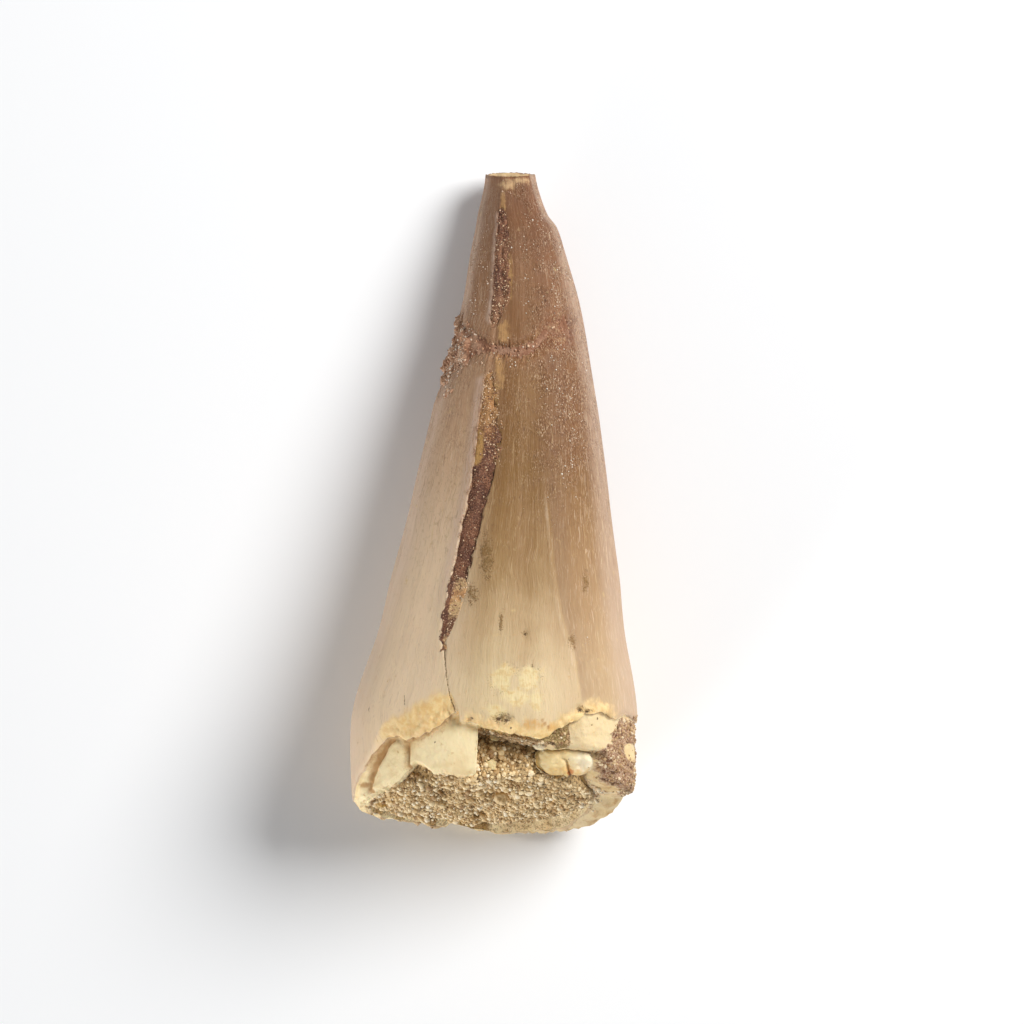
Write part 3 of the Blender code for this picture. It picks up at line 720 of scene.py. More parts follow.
# Painted shade: the lower right flank, which faces the main lamp, is painted darker.
right_side = side.step(3.0, 8.0) * along.step(3.0, -7.0)
right_painted_shade = crown_finish.mixed((174, 136, 98), (200, 165, 124), along.step(-3.0, -12.0))
enamel = enamel.coated(right_painted_shade, right_side * 0.75)
upper = along.step(-10.0, 3.0)
enamel = enamel.coated((104, 66, 40), fine_streaks.step(0.5, 0.8) * (0.12 + upper * 0.24))
golden = clouds.step(0.3, 0.62) * side.step(-2.0, 0.5) * (1 - side.step(3.5, 6.5)) * along.step(-7.0, 0.0)
enamel = enamel.coated((148, 108, 52), golden * along.step(12.0, 8.0) * 0.5)
# The upper right flank is darker and redder: partly the enamel's own reddish brown, partly painted shade on
# the side that faces the main lamp.
reddish = side.step(1.5, 5.0) * along.step(-3.0, 6.0) * (0.5 + 0.5 * mottle.step(0.4, 0.65))
enamel = enamel.coated((126, 80, 52), reddish * 0.6)
flanks = side.most(side * -1.0)
# Painted sheen: the outermost edges of both flanks are painted pale pinkish grey, as if they caught the
# light.
enamel = enamel.coated((212, 182, 158), flanks.step(8.0, 10.0) * (0.3 + 0.6 * hair_streaks))
enamel = enamel.coated((100, 64, 40), mottle.step(0.54, 0.72) * upper * 0.3)
hairs = hair_streaks.step(0.56, 0.70) * (0.14 + 0.6 * flanks.step(3.0, 8.5))
enamel = enamel.coated((232, 204, 174), hairs)
middle = along.step(-13.0, -6.0) * along.step(12.0, 7.0)
enamel = enamel.coated((214, 180, 132), long_lines.step(0.64, 0.74) * middle * 0.4)
# Painted highlight and shade along the low ridge: its crest is painted pale, and the furrow to its right
# browner.
ridge = stored("ridge")
enamel = enamel.coated((236, 210, 176), ridge.step(0.1, 0.8) * fine_streaks.step(0.42, 0.66) * 0.4)
shade_past_ridge = (ridge * -1.0).step(0.05, 0.8) * (0.1 + 0.9 * fine_streaks)
enamel = enamel.coated((146, 106, 74), shade_past_ridge * 0.7)
enamel = enamel.coated((120, 82, 54), hair_streaks.step(0.44, 0.28) * (0.16 + upper * 0.36))
# Painted sheen: the raised lip left of the fissure is painted pale pinkish grey, as if it caught the light.
lip_sheen_share = stored("lip") * (0.25 + 0.75 * hair_streaks.step(0.3, 0.65)) * 0.7
enamel = enamel.coated((222, 192, 172), lip_sheen_share)
healed_share = stored("healed").torn(0.25, 0.8, (mottle, 1.2))
healed = crown_finish.mixed((150, 96, 66), (178, 134, 98), mottle.step(0.42, 0.62))
enamel = enamel.coated(healed, healed_share * 0.7)
enamel = enamel.coated((104, 62, 52), stored("hollow") * 0.7)
rough_skin = along.step(-4.5, 8.0) * (0.4 + 0.6 * side.step(0.5, 4.0)) * clumps.step(0.34, 0.6)
rough_skin = rough_skin.most(healed_share * 0.9)
enamel = enamel.coated((88, 54, 34), flecks.step(0.46, 0.36) * rough_skin * 0.75)
# Pale flecks: partly pale grains of sediment, partly painted glints. The same flecks are made smoother
# further on.
enamel = enamel.coated((226, 192, 158), flecks.step(0.59, 0.68) * rough_skin * 0.75)

# Painted light and shade: the bare dentine is painted lighter on the left, which faces away from the main
# lamp, and darker on the right, which faces it.
dentine = crown_finish.mixed((270, 247, 196), (242, 217, 170), side.step(-2.0, 4.0))
dentine = dentine.coated((248, 212, 150), clouds.step(0.48, 0.7) * 0.6)
dentine = dentine.coated((240, 206, 146), clumps.step(0.44, 0.7) * 0.4)
dentine = dentine.coated((218, 180, 130), along.step(5.0, 20.0) * 0.8)
dentine = dentine.coated((222, 176, 110), mottle.step(0.6, 0.76) * 0.4)
bare_line = stored("bare").torn(0.35, 0.65, (mottle, 0.3))
skin_colour = crown_finish.mixed(enamel, dentine, bare_line)
ochre_share = stored("ochre").torn(0.2, 1.0, (mottle, 0.8), (clumps, 1.0))
ochre = crown_finish.mixed((250, 204, 130), (264, 231, 168), mottle.step(0.35, 0.65))
skin_colour = skin_colour.coated(ochre, ochre_share * 0.9)
yellow_share = stored("yellow").torn(0.3, 1.0, (mottle, 1.2), (clumps, 1.6))
yellow = crown_finish.mixed((250, 228, 172), (228, 190, 122), mottle.step(0.46, 0.62) * 0.6)
skin_colour = skin_colour.coated(yellow, yellow_share * 0.75)
gold_share = stored("gold").torn(0.2, 1.25, (mottle, 2.2), (hair_streaks, 1.6))
gold = crown_finish.mixed((228, 176, 104), (204, 158, 104), along.step(-14.0, -8.0))
gold = gold.coated((226, 188, 140), along.step(23.0, 24.2))
skin_colour = skin_colour.coated(gold, gold_share * 0.85)
# Olive-brown stains, and painted shadow in the recess under the enamel's edge.
stain_and_shade_share = stored("stained").torn(0.45, 1.2, (mottle, 2.2), (pepper, 1.4))
skin_colour = skin_colour.coated((142, 108, 62), stain_and_shade_share * 0.75)
rim_of_yellow = stored("yellow").step(0.05, 0.3) * (1 - stored("yellow").step(0.5, 0.8))
flecked = stored("stained").step(0.05, 0.5).most(rim_of_yellow * clumps.step(0.45, 0.6))
skin_colour = skin_colour.coated((116, 84, 48), pepper.step(0.54, 0.64) * flecked * 0.42)
# Amber-brown stains, with painted shade in the recess and the crease.
amber_and_shade_share = stored("amber").torn(0.2, 1.0, (mottle, 0.7))
skin_colour = skin_colour.coated((190, 138, 80), amber_and_shade_share * 0.85)
crust_share = stored("crust").torn(0.35, 0.6, (mottle, 1.1))
crust_colour = crown_finish.mixed((164, 120, 86), (216, 182, 150), pepper.step(0.42, 0.6))
crust_colour = crust_colour.coated((104, 66, 46), mottle.step(0.48, 0.36) * 0.9)
green_colour = crown_finish.mixed((136, 110, 66), (186, 162, 112), pepper.step(0.42, 0.6))
crust_colour = crust_colour.coated(green_colour, stored("green"))
# Paler on the broken wall: partly its own cream, partly painted light.
crust_colour = crust_colour.coated((238, 208, 162), stored("paler") * 1.1)
skin_colour = skin_colour.coated(crust_colour, crust_share)
hole_share = stored("holes").torn(0.35, 0.9, (pepper, 0.9))
skin_colour = skin_colour.coated((84, 60, 38), hole_share * 0.9)
rusty_share = stored("fissure").torn(0.4, 0.9, (mottle, 1.6), (pepper, 0.8))
skin_colour = skin_colour.coated((122, 76, 50), rusty_share * 0.8)
crown_finish.set("Base Color", skin_colour)
dull = bare_line.most(crust_share).most(stain_and_shade_share)
glints = flecks.step(0.58, 0.68) * rough_skin
crown_finish.set("Roughness", 0.52 + (fine_streaks - 0.5) * 0.2 + dull * 0.2 - glints * 0.2)
grain_relief = mottle * (dull * 1.2 + 0.15) + pepper * crust_share + flecks * rough_skin * 0.8
crown_finish.relief(fine_streaks * 0.4 + hair_streaks * 0.35 + grain_relief, 0.10, 0.7)
piece("crown", crown_mesh, crown_finish, "enamel_and_dentine", "tooth_crown")


# The matrix is phosphate-bearing sand that washed into the pulp cavity and set there. It fills the broken
# base, and its own broken end is a rough face of rounded grains of quartz and phosphate, with darker gaps
# between them.
MATRIX_END = (  # Angle, length Y.
    (0, -21.9), (20, -21.4), (40, -20.7), (62, -20.2), (90, -20.3), (120, -20.5), (140, -21.1),
    (180, -22.4), (230, -23.8), (250, -23.9), (275, -24.4), (300, -24.1), (330, -23.1), (360, -21.9),
)
MATRIX_MIDDLE = (-0.4, -22.5, 8.6)
MATRIX_APEX = 2.0
FACE_RINGS = 48

round_matrix = places((0, 360, 1.1))
matrix_rim = straight_through(MATRIX_END, round_matrix)
side_share = np.concatenate([np.linspace(0.0, 0.68, 7), np.linspace(0.72, 1.0, 26)])[:, None]
side_y = MATRIX_APEX + (matrix_rim - MATRIX_APEX) * side_share
side_angle = round_matrix + 0 * side_share
first_angle = DENTINE_END[0][0]
wall_end = straight_through(DENTINE_END, (round_matrix - first_angle) % 360 + first_angle)
uncovered = step(wall_end - side_y, -0.1, 0.5) * within(side_angle, 30, 38, 100, 150)
side_turn = np.radians(side_angle)
side_lumps = 0.35 * lumps(7 * np.cos(side_turn), side_y * 0.9, 7 * np.sin(side_turn), 1.0)
side_lumps += 0.2 * lumps(17 * np.cos(side_turn), side_y * 2.2, 17 * np.sin(side_turn), 2.0)
matrix_side = pulp_wall(side_y, side_angle, 0.04 + uncovered * (0.25 - side_lumps))
end_share = (np.arange(1, FACE_RINGS) / FACE_RINGS)[:, None, None]
matrix_face = matrix_side[-1] + (np.array(MATRIX_MIDDLE) - matrix_side[-1]) * end_share
face_x, face_y, face_z = (matrix_face[..., k] for k in range(3))
face_lumps = sum(
    height * lumps(face_x / length, face_y / length, face_z / length, seed)
    for height, length, seed in ((0.9, 3.2, 0.4), (0.5, 1.3, 1.4), (0.22, 0.5, 2.4))
)
matrix_face[..., 1] += face_lumps * np.minimum(1, 5 * end_share[..., 0])
matrix_face[..., 1] -= 0.35 * np.sin(np.pi / 2 * np.minimum(1, 3 * end_share[..., 0]))
matrix_rings = np.concatenate([matrix_side, matrix_face])
matrix_mesh = closed_mesh(
    "matrix", matrix_rings, matrix_side[0].mean(axis=0) + (0, 0.2, 0), matrix_face[-1].mean(axis=0)
)
put(matrix_mesh, "grains", np.concatenate([uncovered * step(side_share, 0.75, 0.8), 1 + 0 * face_x]))


class Grit(Finish):
    """A finish of set grit: soft clouds of colour, and grit that also makes it rough."""

    def __init__(self, name, cloud_size, grit_size):
        super().__init__(name, IOR=1.5)
        self.here = self.place()
        self.clouds = self.noise(self.here, cloud_size, 3.0)
        self.grit = self.noise(self.here, grit_size, 3.0, 0.65)

    def wear(self, colour, least_roughness, more_roughness, depth):
        self.set("Base Color", colour)
        self.set("Roughness", least_roughness + self.grit * more_roughness)
        self.relief(self.grit, depth, 0.8)


matrix_finish = Grit("set sand", 2.4, 0.22)
cement = matrix_finish.mixed((192, 155, 102), (234, 200, 144), matrix_finish.clouds.step(0.35, 0.65))
cement = cement.coated((96, 68, 38), matrix_finish.grit.step(0.52, 0.4) * 0.8)
cement = cement.coated((246, 224, 180), matrix_finish.grit.step(0.6, 0.72) * 0.8)
matrix_finish.wear(cement, 0.75, 0.2, 0.2)
piece("matrix", matrix_mesh, matrix_finish, "sandy_matrix", "matrix_plug")


def grain_tree(name):
    """Geometry nodes that scatter rounded grains over a surface, by its stored share of grains."""
    tree = bpy.data.node_groups.new(name, "GeometryNodeTree")
    tree.interface.new_socket(name="Surface", in_out="INPUT", socket_type="NodeSocketGeometry")
    for kind, names in (
        ("Float", ("Closest", "Crowding", "Smallest", "Largest", "Sunk", "Unevenness")),
        ("Int", ("Sides", "Seed")), ("Material", ("Finish",)),
    ):
        for socket in names:
            tree.interface.new_socket(name=socket, in_out="INPUT", socket_type=f"NodeSocket{kind}")
    tree.interface.new_socket(name="Grains", in_out="OUTPUT", socket_type="NodeSocketGeometry")
    nodes = Nodes(tree)
    given = tree.nodes.new("NodeGroupInput")

    def asked(socket):
        return Value(nodes, given.outputs[socket])

    def chance(kind, low, high, seed):
        inputs = {"Min": low, "Max": high, "Seed": seed}
        return nodes.node("FunctionNodeRandomValue", {"data_type": kind}, inputs, "Value")

    share = nodes.node("GeometryNodeInputNamedAttribute", {}, {"Name": "grains"}, "Attribute")
    scatter = nodes.node("GeometryNodeDistributePointsOnFaces", {"distribute_method": "POISSON"}, {
        "Mesh": asked("Surface"), "Distance Min": asked("Closest"), "Density Max": asked("Crowding"),
        "Density Factor": share, "Seed": asked("Seed"),
    }, "Points")
    facing = Value(nodes, scatter.socket.node.outputs["Normal"])
    sunk = nodes.vector("SCALE", facing, asked("Sunk") * -1.0)
    settled = nodes.node("GeometryNodeSetPosition", {}, {"Geometry": scatter, "Offset": sunk})
    ball = {"Segments": asked("Sides"), "Rings": 4, "Radius": 0.5}
    grain = nodes.node("GeometryNodeMeshUVSphere", {}, ball)
    size = asked("Smallest") + (asked("Largest") - asked("Smallest")) * chance("FLOAT", 0.0, 1.0, 11) ** 2.0
    form = chance("FLOAT_VECTOR", (0.72, 0.72, 0.72), (1.28, 1.28, 1.28), 12)
    laid = nodes.node("GeometryNodeInstanceOnPoints", {}, {
        "Points": settled, "Instance": grain,
        "Rotation": chance("FLOAT_VECTOR", (0.0, 0.0, 0.0), (math.tau, math.tau, math.tau), 13),
        "Scale": nodes.vector("SCALE", form, size),
    })
    toned = nodes.node("GeometryNodeStoreNamedAttribute", {"data_type": "FLOAT", "domain": "INSTANCE"}, {
        "Geometry": laid, "Name": "tone", "Value": chance("FLOAT", 0.0, 1.0, 14),
    })
    real = nodes.node("GeometryNodeRealizeInstances", {}, {"Geometry": toned})
    dents = nodes.node("ShaderNodeTexNoise", {}, {"Scale": 5000.0, "Detail": 0.0}, "Color")
    centred = nodes.vector("SUBTRACT", dents, (0.5, 0.5, 0.5))
    uneven = nodes.vector("SCALE", centred, asked("Unevenness"))
    dented = nodes.node("GeometryNodeSetPosition", {}, {"Geometry": real, "Offset": uneven})
    smooth = nodes.node("GeometryNodeSetShadeSmooth", {}, {"Geometry": dented})
    finished = nodes.node("GeometryNodeSetMaterial", {}, {"Geometry": smooth, "Material": asked("Finish")})
    nodes.node("NodeGroupOutput", {}, {"Grains": finished})
    return tree


grains_on_surface = grain_tree("grains on a surface")


def scattered(name, surface, finish, slot, **wanted):
    """Grains over a surface as one plain mesh; lengths are in millimetres."""
    carrier = bpy.data.objects.new(f"{name} carrier", surface)
    bpy.context.scene.collection.objects.link(carrier)
    modifier = carrier.modifiers.new(name, "NODES")
    modifier.node_group = grains_on_surface
    wanted = {"Sunk": 0.0, "Unevenness": 0.0, "Sides": 7, "Finish": finish.material, **wanted}
    for socket in grains_on_surface.interface.items_tree:
        if socket.name in wanted:
            value = wanted[socket.name]
            if socket.name in ("Closest", "Smallest", "Largest", "Sunk", "Unevenness"):
                value *= MM
            elif socket.name == "Crowding":
                value /= MM**2
            modifier[socket.identifier] = value
    graph = bpy.context.evaluated_depsgraph_get()
    mesh = bpy.data.meshes.new_from_object(
        carrier.evaluated_get(graph), preserve_all_data_layers=True, depsgraph=graph
    )
    mesh.name = name
    carrier.modifiers.clear()
    bpy.data.objects.remove(carrier)
    return piece(name, mesh, finish, slot)


def grain_finish(name, stops, roughness=0.55):
    """A finish for grains whose colours run through stops by chance."""
    finish = Finish(name, IOR=1.5)
    place = finish.place()
    speckle = finish.noise(place, 0.16, 2.0)
    tone = finish.stored("tone") + (speckle - 0.5) * 0.35 + finish.stored("paler") * 0.5
    finish.set("Base Color", finish.node("ShaderNodeValToRGB", {"stops": stops}, {"Fac": tone}, "Color"))
    finish.set("Roughness", roughness + (speckle - 0.5) * 0.3)
    return finish


sand_finish = grain_finish("sand grains", (
    (0.0, (174, 132, 84)), (0.2, (226, 188, 130)), (0.55, (254, 224, 168)),
    (0.85, (268, 244, 198)), (1.0, (268, 254, 224)),
))
scattered("sand_grains", matrix_mesh, sand_finish, "sandy_matrix",
          Closest=0.27, Crowding=16.0, Smallest=0.2, Largest=0.52, Unevenness=0.12, Seed=3)
scattered("fine_sand", matrix_mesh, sand_finish, "sandy_matrix",
          Closest=0.17, Crowding=16.0, Smallest=0.10, Largest=0.22, Unevenness=0.05, Sides=5, Seed=8)


# The long fissure is packed with rust-stained sediment, finer than the sand of the base. It lies a little
# below the skin in an upper and a lower stretch, and glitters with small crystals.
def top_and_bottom(across_count):
    """How far sideways a strip's columns lie, -1 to 1 over its top and back below, and which are on top."""
    over = np.linspace(-1, 1, across_count)
    return np.concatenate([over, over[::-1]]), np.arange(2 * across_count) < across_count


def seam_fill(name, middle_y, middle_angle, width, floor, top, roughness, across_count):
    """A strip along a seam of the crown: its top is uneven, and its edges reach into the seam's walls."""
    side_to_side = np.linspace(-1, 1, across_count)
    step_y = np.gradient(middle_y)
    radius = station(middle_y)[1]
    step_round = np.radians(np.gradient(middle_angle)) * radius
    length = np.hypot(step_y, step_round)
    toward_y, toward_round = -step_round / length, step_y / length
    off = side_to_side * width[:, None] / 2
    strip_y = middle_y[:, None] + toward_y[:, None] * off
    strip_angle = middle_angle[:, None] + np.degrees(toward_round[:, None] * off / radius[:, None])
    turn = np.radians(strip_angle)
    grit = lumps(14 * np.cos(turn), strip_y * 1.6, 14 * np.sin(turn), floor)
    grit += 0.6 * lumps(34 * np.cos(turn), strip_y * 4.0, 34 * np.sin(turn), floor)
    ends = step(np.arange(len(middle_y)), 0, 6) * step(np.arange(len(middle_y))[::-1], 0, 6)
    top_out = top(side_to_side[None], strip_y, strip_angle) * ends[:, None] + roughness * grit
    top_points = crown_point(strip_y, strip_angle, top_out)
    bottom_points = crown_point(strip_y, strip_angle, -floor + 0 * strip_y)[:, ::-1]
    rings = np.concatenate([top_points, bottom_points], axis=1)
    return closed_mesh(name, rings, rings[0].mean(axis=0), rings[-1].mean(axis=0))


rust_finish = Grit("rusty sediment", 1.3, 0.14)
rust_clouds, rust_grit = rust_finish.clouds, rust_finish.grit
rust = rust_finish.mixed((116, 70, 48), (156, 102, 70), rust_clouds.step(0.38, 0.66))
rust = rust.coated((78, 46, 32), rust_grit.step(0.5, 0.38) * 0.7)
# Pale specks: partly pale grains, partly painted glitter of small crystals.
rust = rust.coated((206, 168, 138), rust_grit.step(0.58, 0.68) * 0.75)
ochre_part = rust_finish.stored("ochre").torn(0.25, 0.7, (rust_clouds, 1.2), (rust_grit, 0.5))
rust = rust.coated((206, 158, 88), ochre_part * 0.85)
pale_part = rust_finish.stored("paler").torn(0.35, 0.8, (rust_grit, 1.0), (rust_clouds, 0.8))
rust_y = rust_finish.part(rust_finish.here, "Y")
paler_colour = rust_finish.mixed((234, 194, 138), (188, 138, 84), rust_y.step(-4.0, 2.0))
paler_colour = paler_colour.coated((214, 152, 92), rust_clouds.step(0.5, 0.66) * 0.7)
paler_colour = paler_colour.coated((154, 108, 78), rust_y.step(11.0, 13.0) * 0.8)
rust = rust.coated(paler_colour, pale_part * 0.9)
rust_finish.wear(rust, 0.5, 0.3, 0.12)
rust_grains = grain_finish("rusty grains", (
    (0.0, (92, 56, 40)), (0.5, (132, 88, 60)), (0.8, (160, 112, 80)), (0.93, (196, 152, 114)),
    (1.0, (236, 202, 164)),
), 0.45)
# How far the sediment stands out of the skin down the fissure, and how much paler it is: length Y, value.
FILL_LEVEL = (
    (22.3, -0.2), (21.6, -0.07), (20.4, -0.08), (19.4, -0.03), (14.2, -0.03), (13.1, -0.25), (9.9, -0.25),
    (9.4, -0.06), (6.0, -0.07), (2.9, -0.08), (2.3, -0.19), (-5.2, -0.18), (-6.0, -0.02), (-8.4, -0.02),
    (-10.2, -0.04), (-10.9, -0.3),
)
PALER = (
    (22.0, 0.25), (20.8, 0.1), (19.6, 0.65), (18.2, 0.4), (16.5, 0.45), (13.7, 0.75), (9.6, 0.9),
    (6.2, 0.85), (5.6, 0.5), (3.2, 0.35), (2.4, 0.05), (-5.0, 0.0), (-5.8, 0.8), (-6.8, 0.55), (-7.4, 0.85),
    (-8.2, 0.75), (-8.8, 0.4), (-10.4, 0.6),
)
FILL_COLUMNS = 25
FILL_SPACING = 0.11


def packed(sideways, y, angle):
    """How far the sediment of the fissure stands out: it is a little fuller along its middle."""
    return straight_through(FILL_LEVEL, y) + 0.05 * (1 - sideways**2)


for name, from_y, to_y in (("fissure_sediment_tip", 22.3, 13.1), ("fissure_sediment_body", 9.9, -10.9)):
    seam_y = np.linspace(from_y, to_y, round((from_y - to_y) / FILL_SPACING))
    seam_width = straight_through(FISSURE, seam_y, 2) * 1.5 + 0.35
    fill_mesh = seam_fill(
        f"{name}_fill", seam_y, seam_angle(seam_y), seam_width, 0.9, packed, 0.09, FILL_COLUMNS
    )
    sideways, over_top = top_and_bottom(FILL_COLUMNS)
    down_fill = seam_y[:, None]
    ochre_patch = within(down_fill, 2.3, 3.6, 4.8, 6.4)
    put(fill_mesh, "ochre", ochre_patch * (1 - step(sideways, -0.55, 0.25)))
    dark_strip = step(-down_fill, 5.3, 6.0) * (1 - step(sideways, -0.45, 0.05))
    put(fill_mesh, "paler", straight_through(PALER, down_fill) * (1 - 0.9 * dark_strip))
    bare_ochre = ochre_patch * (1 - step(sideways, -0.5, 0.1))
    flaky = hump(down_fill + 7.0, 1.2)
    put(fill_mesh, "grains", over_top * (1 - 0.95 * bare_ochre) * (1 - 0.7 * flaky), at_ends=0)
    piece(f"{name}_fill", fill_mesh, rust_finish, "fissure_sediment", name)
    scattered(f"{name}_grains", fill_mesh, rust_grains, "fissure_sediment",
              Closest=0.09, Crowding=70.0, Smallest=0.05, Largest=0.16, Unevenness=0.03, Sides=5, Seed=21)


# The break was healed over by grainy sediment, which stands proud on the left flank as a row of lumps and
# thins out to a line of reddish granules over the top.
break_finish = Grit("grainy sediment", 1.1, 0.16)
break_clouds, break_grit = break_finish.clouds, break_finish.grit
crumb = break_finish.mixed((168, 116, 84), (200, 156, 126), break_clouds.step(0.35, 0.65))
crumb = crumb.coated((116, 74, 54), break_grit.step(0.46, 0.34) * 0.6)
crumb = crumb.coated((232, 206, 182), break_grit.step(0.63, 0.74) * 0.8)
# Paler and pinker on the left flank: partly the sediment's own colour, partly painted light.
crumb = crumb.coated((230, 182, 142), break_finish.stored("paler") * break_clouds.step(0.3, 0.6))
over_the_top = 1 - break_finish.stored("paler") * 1.8
crumb = crumb.coated((150, 100, 70), over_the_top * (0.35 + 0.5 * break_clouds.step(0.6, 0.4)))
break_finish.wear(crumb, 0.6, 0.3, 0.14)
break_grains = grain_finish("break grains", (
    (0.0, (122, 78, 54)), (0.4, (170, 120, 88)), (0.75, (212, 162, 122)), (0.92, (242, 206, 170)),
    (1.0, (250, 230, 206)),
), 0.45)
break_angle = np.linspace(210, 38, 230)


def heaped(sideways, y, angle):
    """How far the sediment stands out: lowest over the top, in patches and soft lumps on the left flank."""
    flank = within(angle, 124, 146, 200, 212)
    knobs = np.maximum(lumps(angle / 9, y * 0.9, 0.0, 6.0) + 0.4 * lumps(angle / 4, y * 2.0, 0.0, 6.5), 0)
    top = -0.27 + (0.10 + 0.62 * flank) * knobs + 0.10 * flank
    top = top + 0.42 * hump((angle - 176) / 8, 1.0) * hump(y - 13.7, 0.45)
    return top - 0.10 * sideways**2


BREAK_COLUMNS = 45
break_mesh = seam_fill(
    "break_sediment_fill", smooth_through(BREAK, break_angle), break_angle,
    smooth_through(BREAK, break_angle, 2) * 1.15 + 0.2, 0.6, heaped, 0.06, BREAK_COLUMNS,
)
sideways, over_top = top_and_bottom(BREAK_COLUMNS)
# Paler on the left flank: partly the sediment's own pinker colour, partly painted light for the flank that
# faces away from the main lamp.
on_flank = step(break_angle, 118, 150)[:, None] + 0 * sideways
put(break_mesh, "paler", 0.55 * on_flank)
patchy = np.clip(0.5 + 2.0 * lumps(break_angle[:, None] / 7, sideways * 1.2, 0.0, 9.0), 0.2, 1)
put(break_mesh, "grains", over_top * np.maximum(patchy, on_flank))
piece("break_sediment_fill", break_mesh, break_finish, "break_sediment", "break_sediment")
scattered("break_sediment_grains", break_mesh, break_grains, "break_sediment",
          Closest=0.11, Crowding=40.0, Smallest=0.06, Largest=0.24, Unevenness=0.05, Sides=5, Seed=33)


# Chips of dentine broke off the wall and lie in the sand: a large one of two lobes that is bedded in the
# base, and small flakes beside it. A pale pebble sits at the lower edge of the sand.
def surface_below(mesh, x, y):
    """The topmost point of a mesh under a place seen from above, in millimetres."""
    faces = [list(face.vertices) for face in mesh.polygons]
    tree = BVHTree.FromPolygons([vertex.co for vertex in mesh.vertices], faces)
    well_above = 0.1
    return np.array(tree.ray_cast((x * MM, y * MM, well_above), (0, 0, -1))[0]) / MM


# A chip's rings: their share of its outline, and their height as a share of its thickness.
CHIP_CORNERS = 84
CHIP_LOWER_RINGS = 5
CHIP_PROFILE = (
    (0.15, -0.5), (0.5, -0.5), (0.85, -0.45), (0.98, -0.25), (1.0, 0.15), (0.985, 0.36), (0.95, 0.46),
    *((share, 0.5) for share in np.linspace(0.9, 0.06, 17)),
)
PLAIN_FACETS = ((200, 0.1, 0.5), (40, 0.05, 0.4))


def chip(name, outline, thickness, at, turn, seed, facets=PLAIN_FACETS, cleft=0.0):
    """A flat chip from the corners of its outline seen from above, laid at a point and turned.

    Each facet is a slope of the top: its direction in degrees, where it starts and how steep it is.
    A cleft of some depth parts the top into two lobes.
    """
    corners = np.array(outline, float)
    corners -= corners.mean(axis=0)
    corners = np.append(corners, corners[:1], axis=0)
    along_edge = np.linspace(0, len(outline), CHIP_CORNERS, endpoint=False)
    edge = np.stack([np.interp(along_edge, np.arange(len(corners)), corners[:, k]) for k in (0, 1)], axis=-1)
    edge = (np.roll(edge, 1, axis=0) + edge + np.roll(edge, -1, axis=0)) / 3
    rings = np.array([
        np.column_stack([edge * share, np.full(len(edge), rise * thickness)]) for share, rise in CHIP_PROFILE
    ])
    rings[..., 2] += 0.2 * thickness * lumps(rings[..., 0] * 1.4, rings[..., 1] * 1.4, 0.0, seed)
    rings[..., 2] += 0.08 * lumps(rings[..., 0] * 4, rings[..., 1] * 4, 0.0, seed)
    upper_side = np.arange(len(CHIP_PROFILE))[:, None] >= CHIP_LOWER_RINGS
    for direction, start, steepness in facets:
        way = math.radians(direction)
        reached = rings[..., 0] * math.cos(way) + rings[..., 1] * math.sin(way) - start
        rings[..., 2] -= upper_side * steepness * np.maximum(reached, 0)
    parting = rings[..., 0] - 0.1 + 0.35 * rings[..., 1]
    parting = parting + 0.12 * lumps(rings[..., 0], rings[..., 1] * 2.5, 0.0, seed)
    rings[..., 2] -= upper_side * cleft * hump(parting, 0.16) * step(-rings[..., 1], -0.9, 0.4)
    rings[..., 2] -= upper_side * cleft * 0.35 * step(-parting, -0.1, 0.25)
    tilt = Euler([math.radians(angle) for angle in turn]).to_matrix()
    rings = rings @ np.array(tilt).T + np.array(at)
    return closed_mesh(name, rings, rings[0].mean(axis=0), rings[-1].mean(axis=0))


chip_finish = Finish(
    "chip of dentine", Subsurface_Weight=0.15, Subsurface_Radius=(1.0, 0.6, 0.3), Subsurface_Scale=0.001,
    Specular_IOR_Level=0.3,
)
chip_place = chip_finish.place()
chip_x = chip_finish.part(chip_place, "X")
chip_y = chip_finish.part(chip_place, "Y")
chip_clouds = chip_finish.noise(chip_place, 0.8, 3.0)
chip_grit = chip_finish.noise(chip_place, 0.2, 3.0)
right_lobe = chip_x.torn(5.4, 6.7, (chip_clouds, 2.0))
white = right_lobe.most(chip_y.step(-18.5, -18.2) * chip_x.step(1.5, 2.5))
chip_colour = chip_finish.mixed((250, 222, 164), (255, 238, 202), white)
warm = (chip_clouds + (chip_y + 19.6) * -0.35).step(0.45, 0.75)
chip_colour = chip_colour.coated((240, 196, 122), warm * 0.8)
off_x, off_y = chip_x - 5.75, chip_y + 20.0
spot = (off_x * off_x + off_y * off_y + (chip_clouds - 0.5) * 0.9).step(0.08, 0.0)
chip_colour = chip_colour.coated((206, 128, 66), spot * 0.85)
chip_colour = chip_colour.coated((150, 108, 62), chip_grit.step(0.68, 0.76) * 0.7)
chip_finish.set("Base Color", chip_colour)
chip_finish.set("Roughness", 0.45 + chip_grit * 0.25)
chip_finish.relief(chip_grit, 0.1, 0.5)
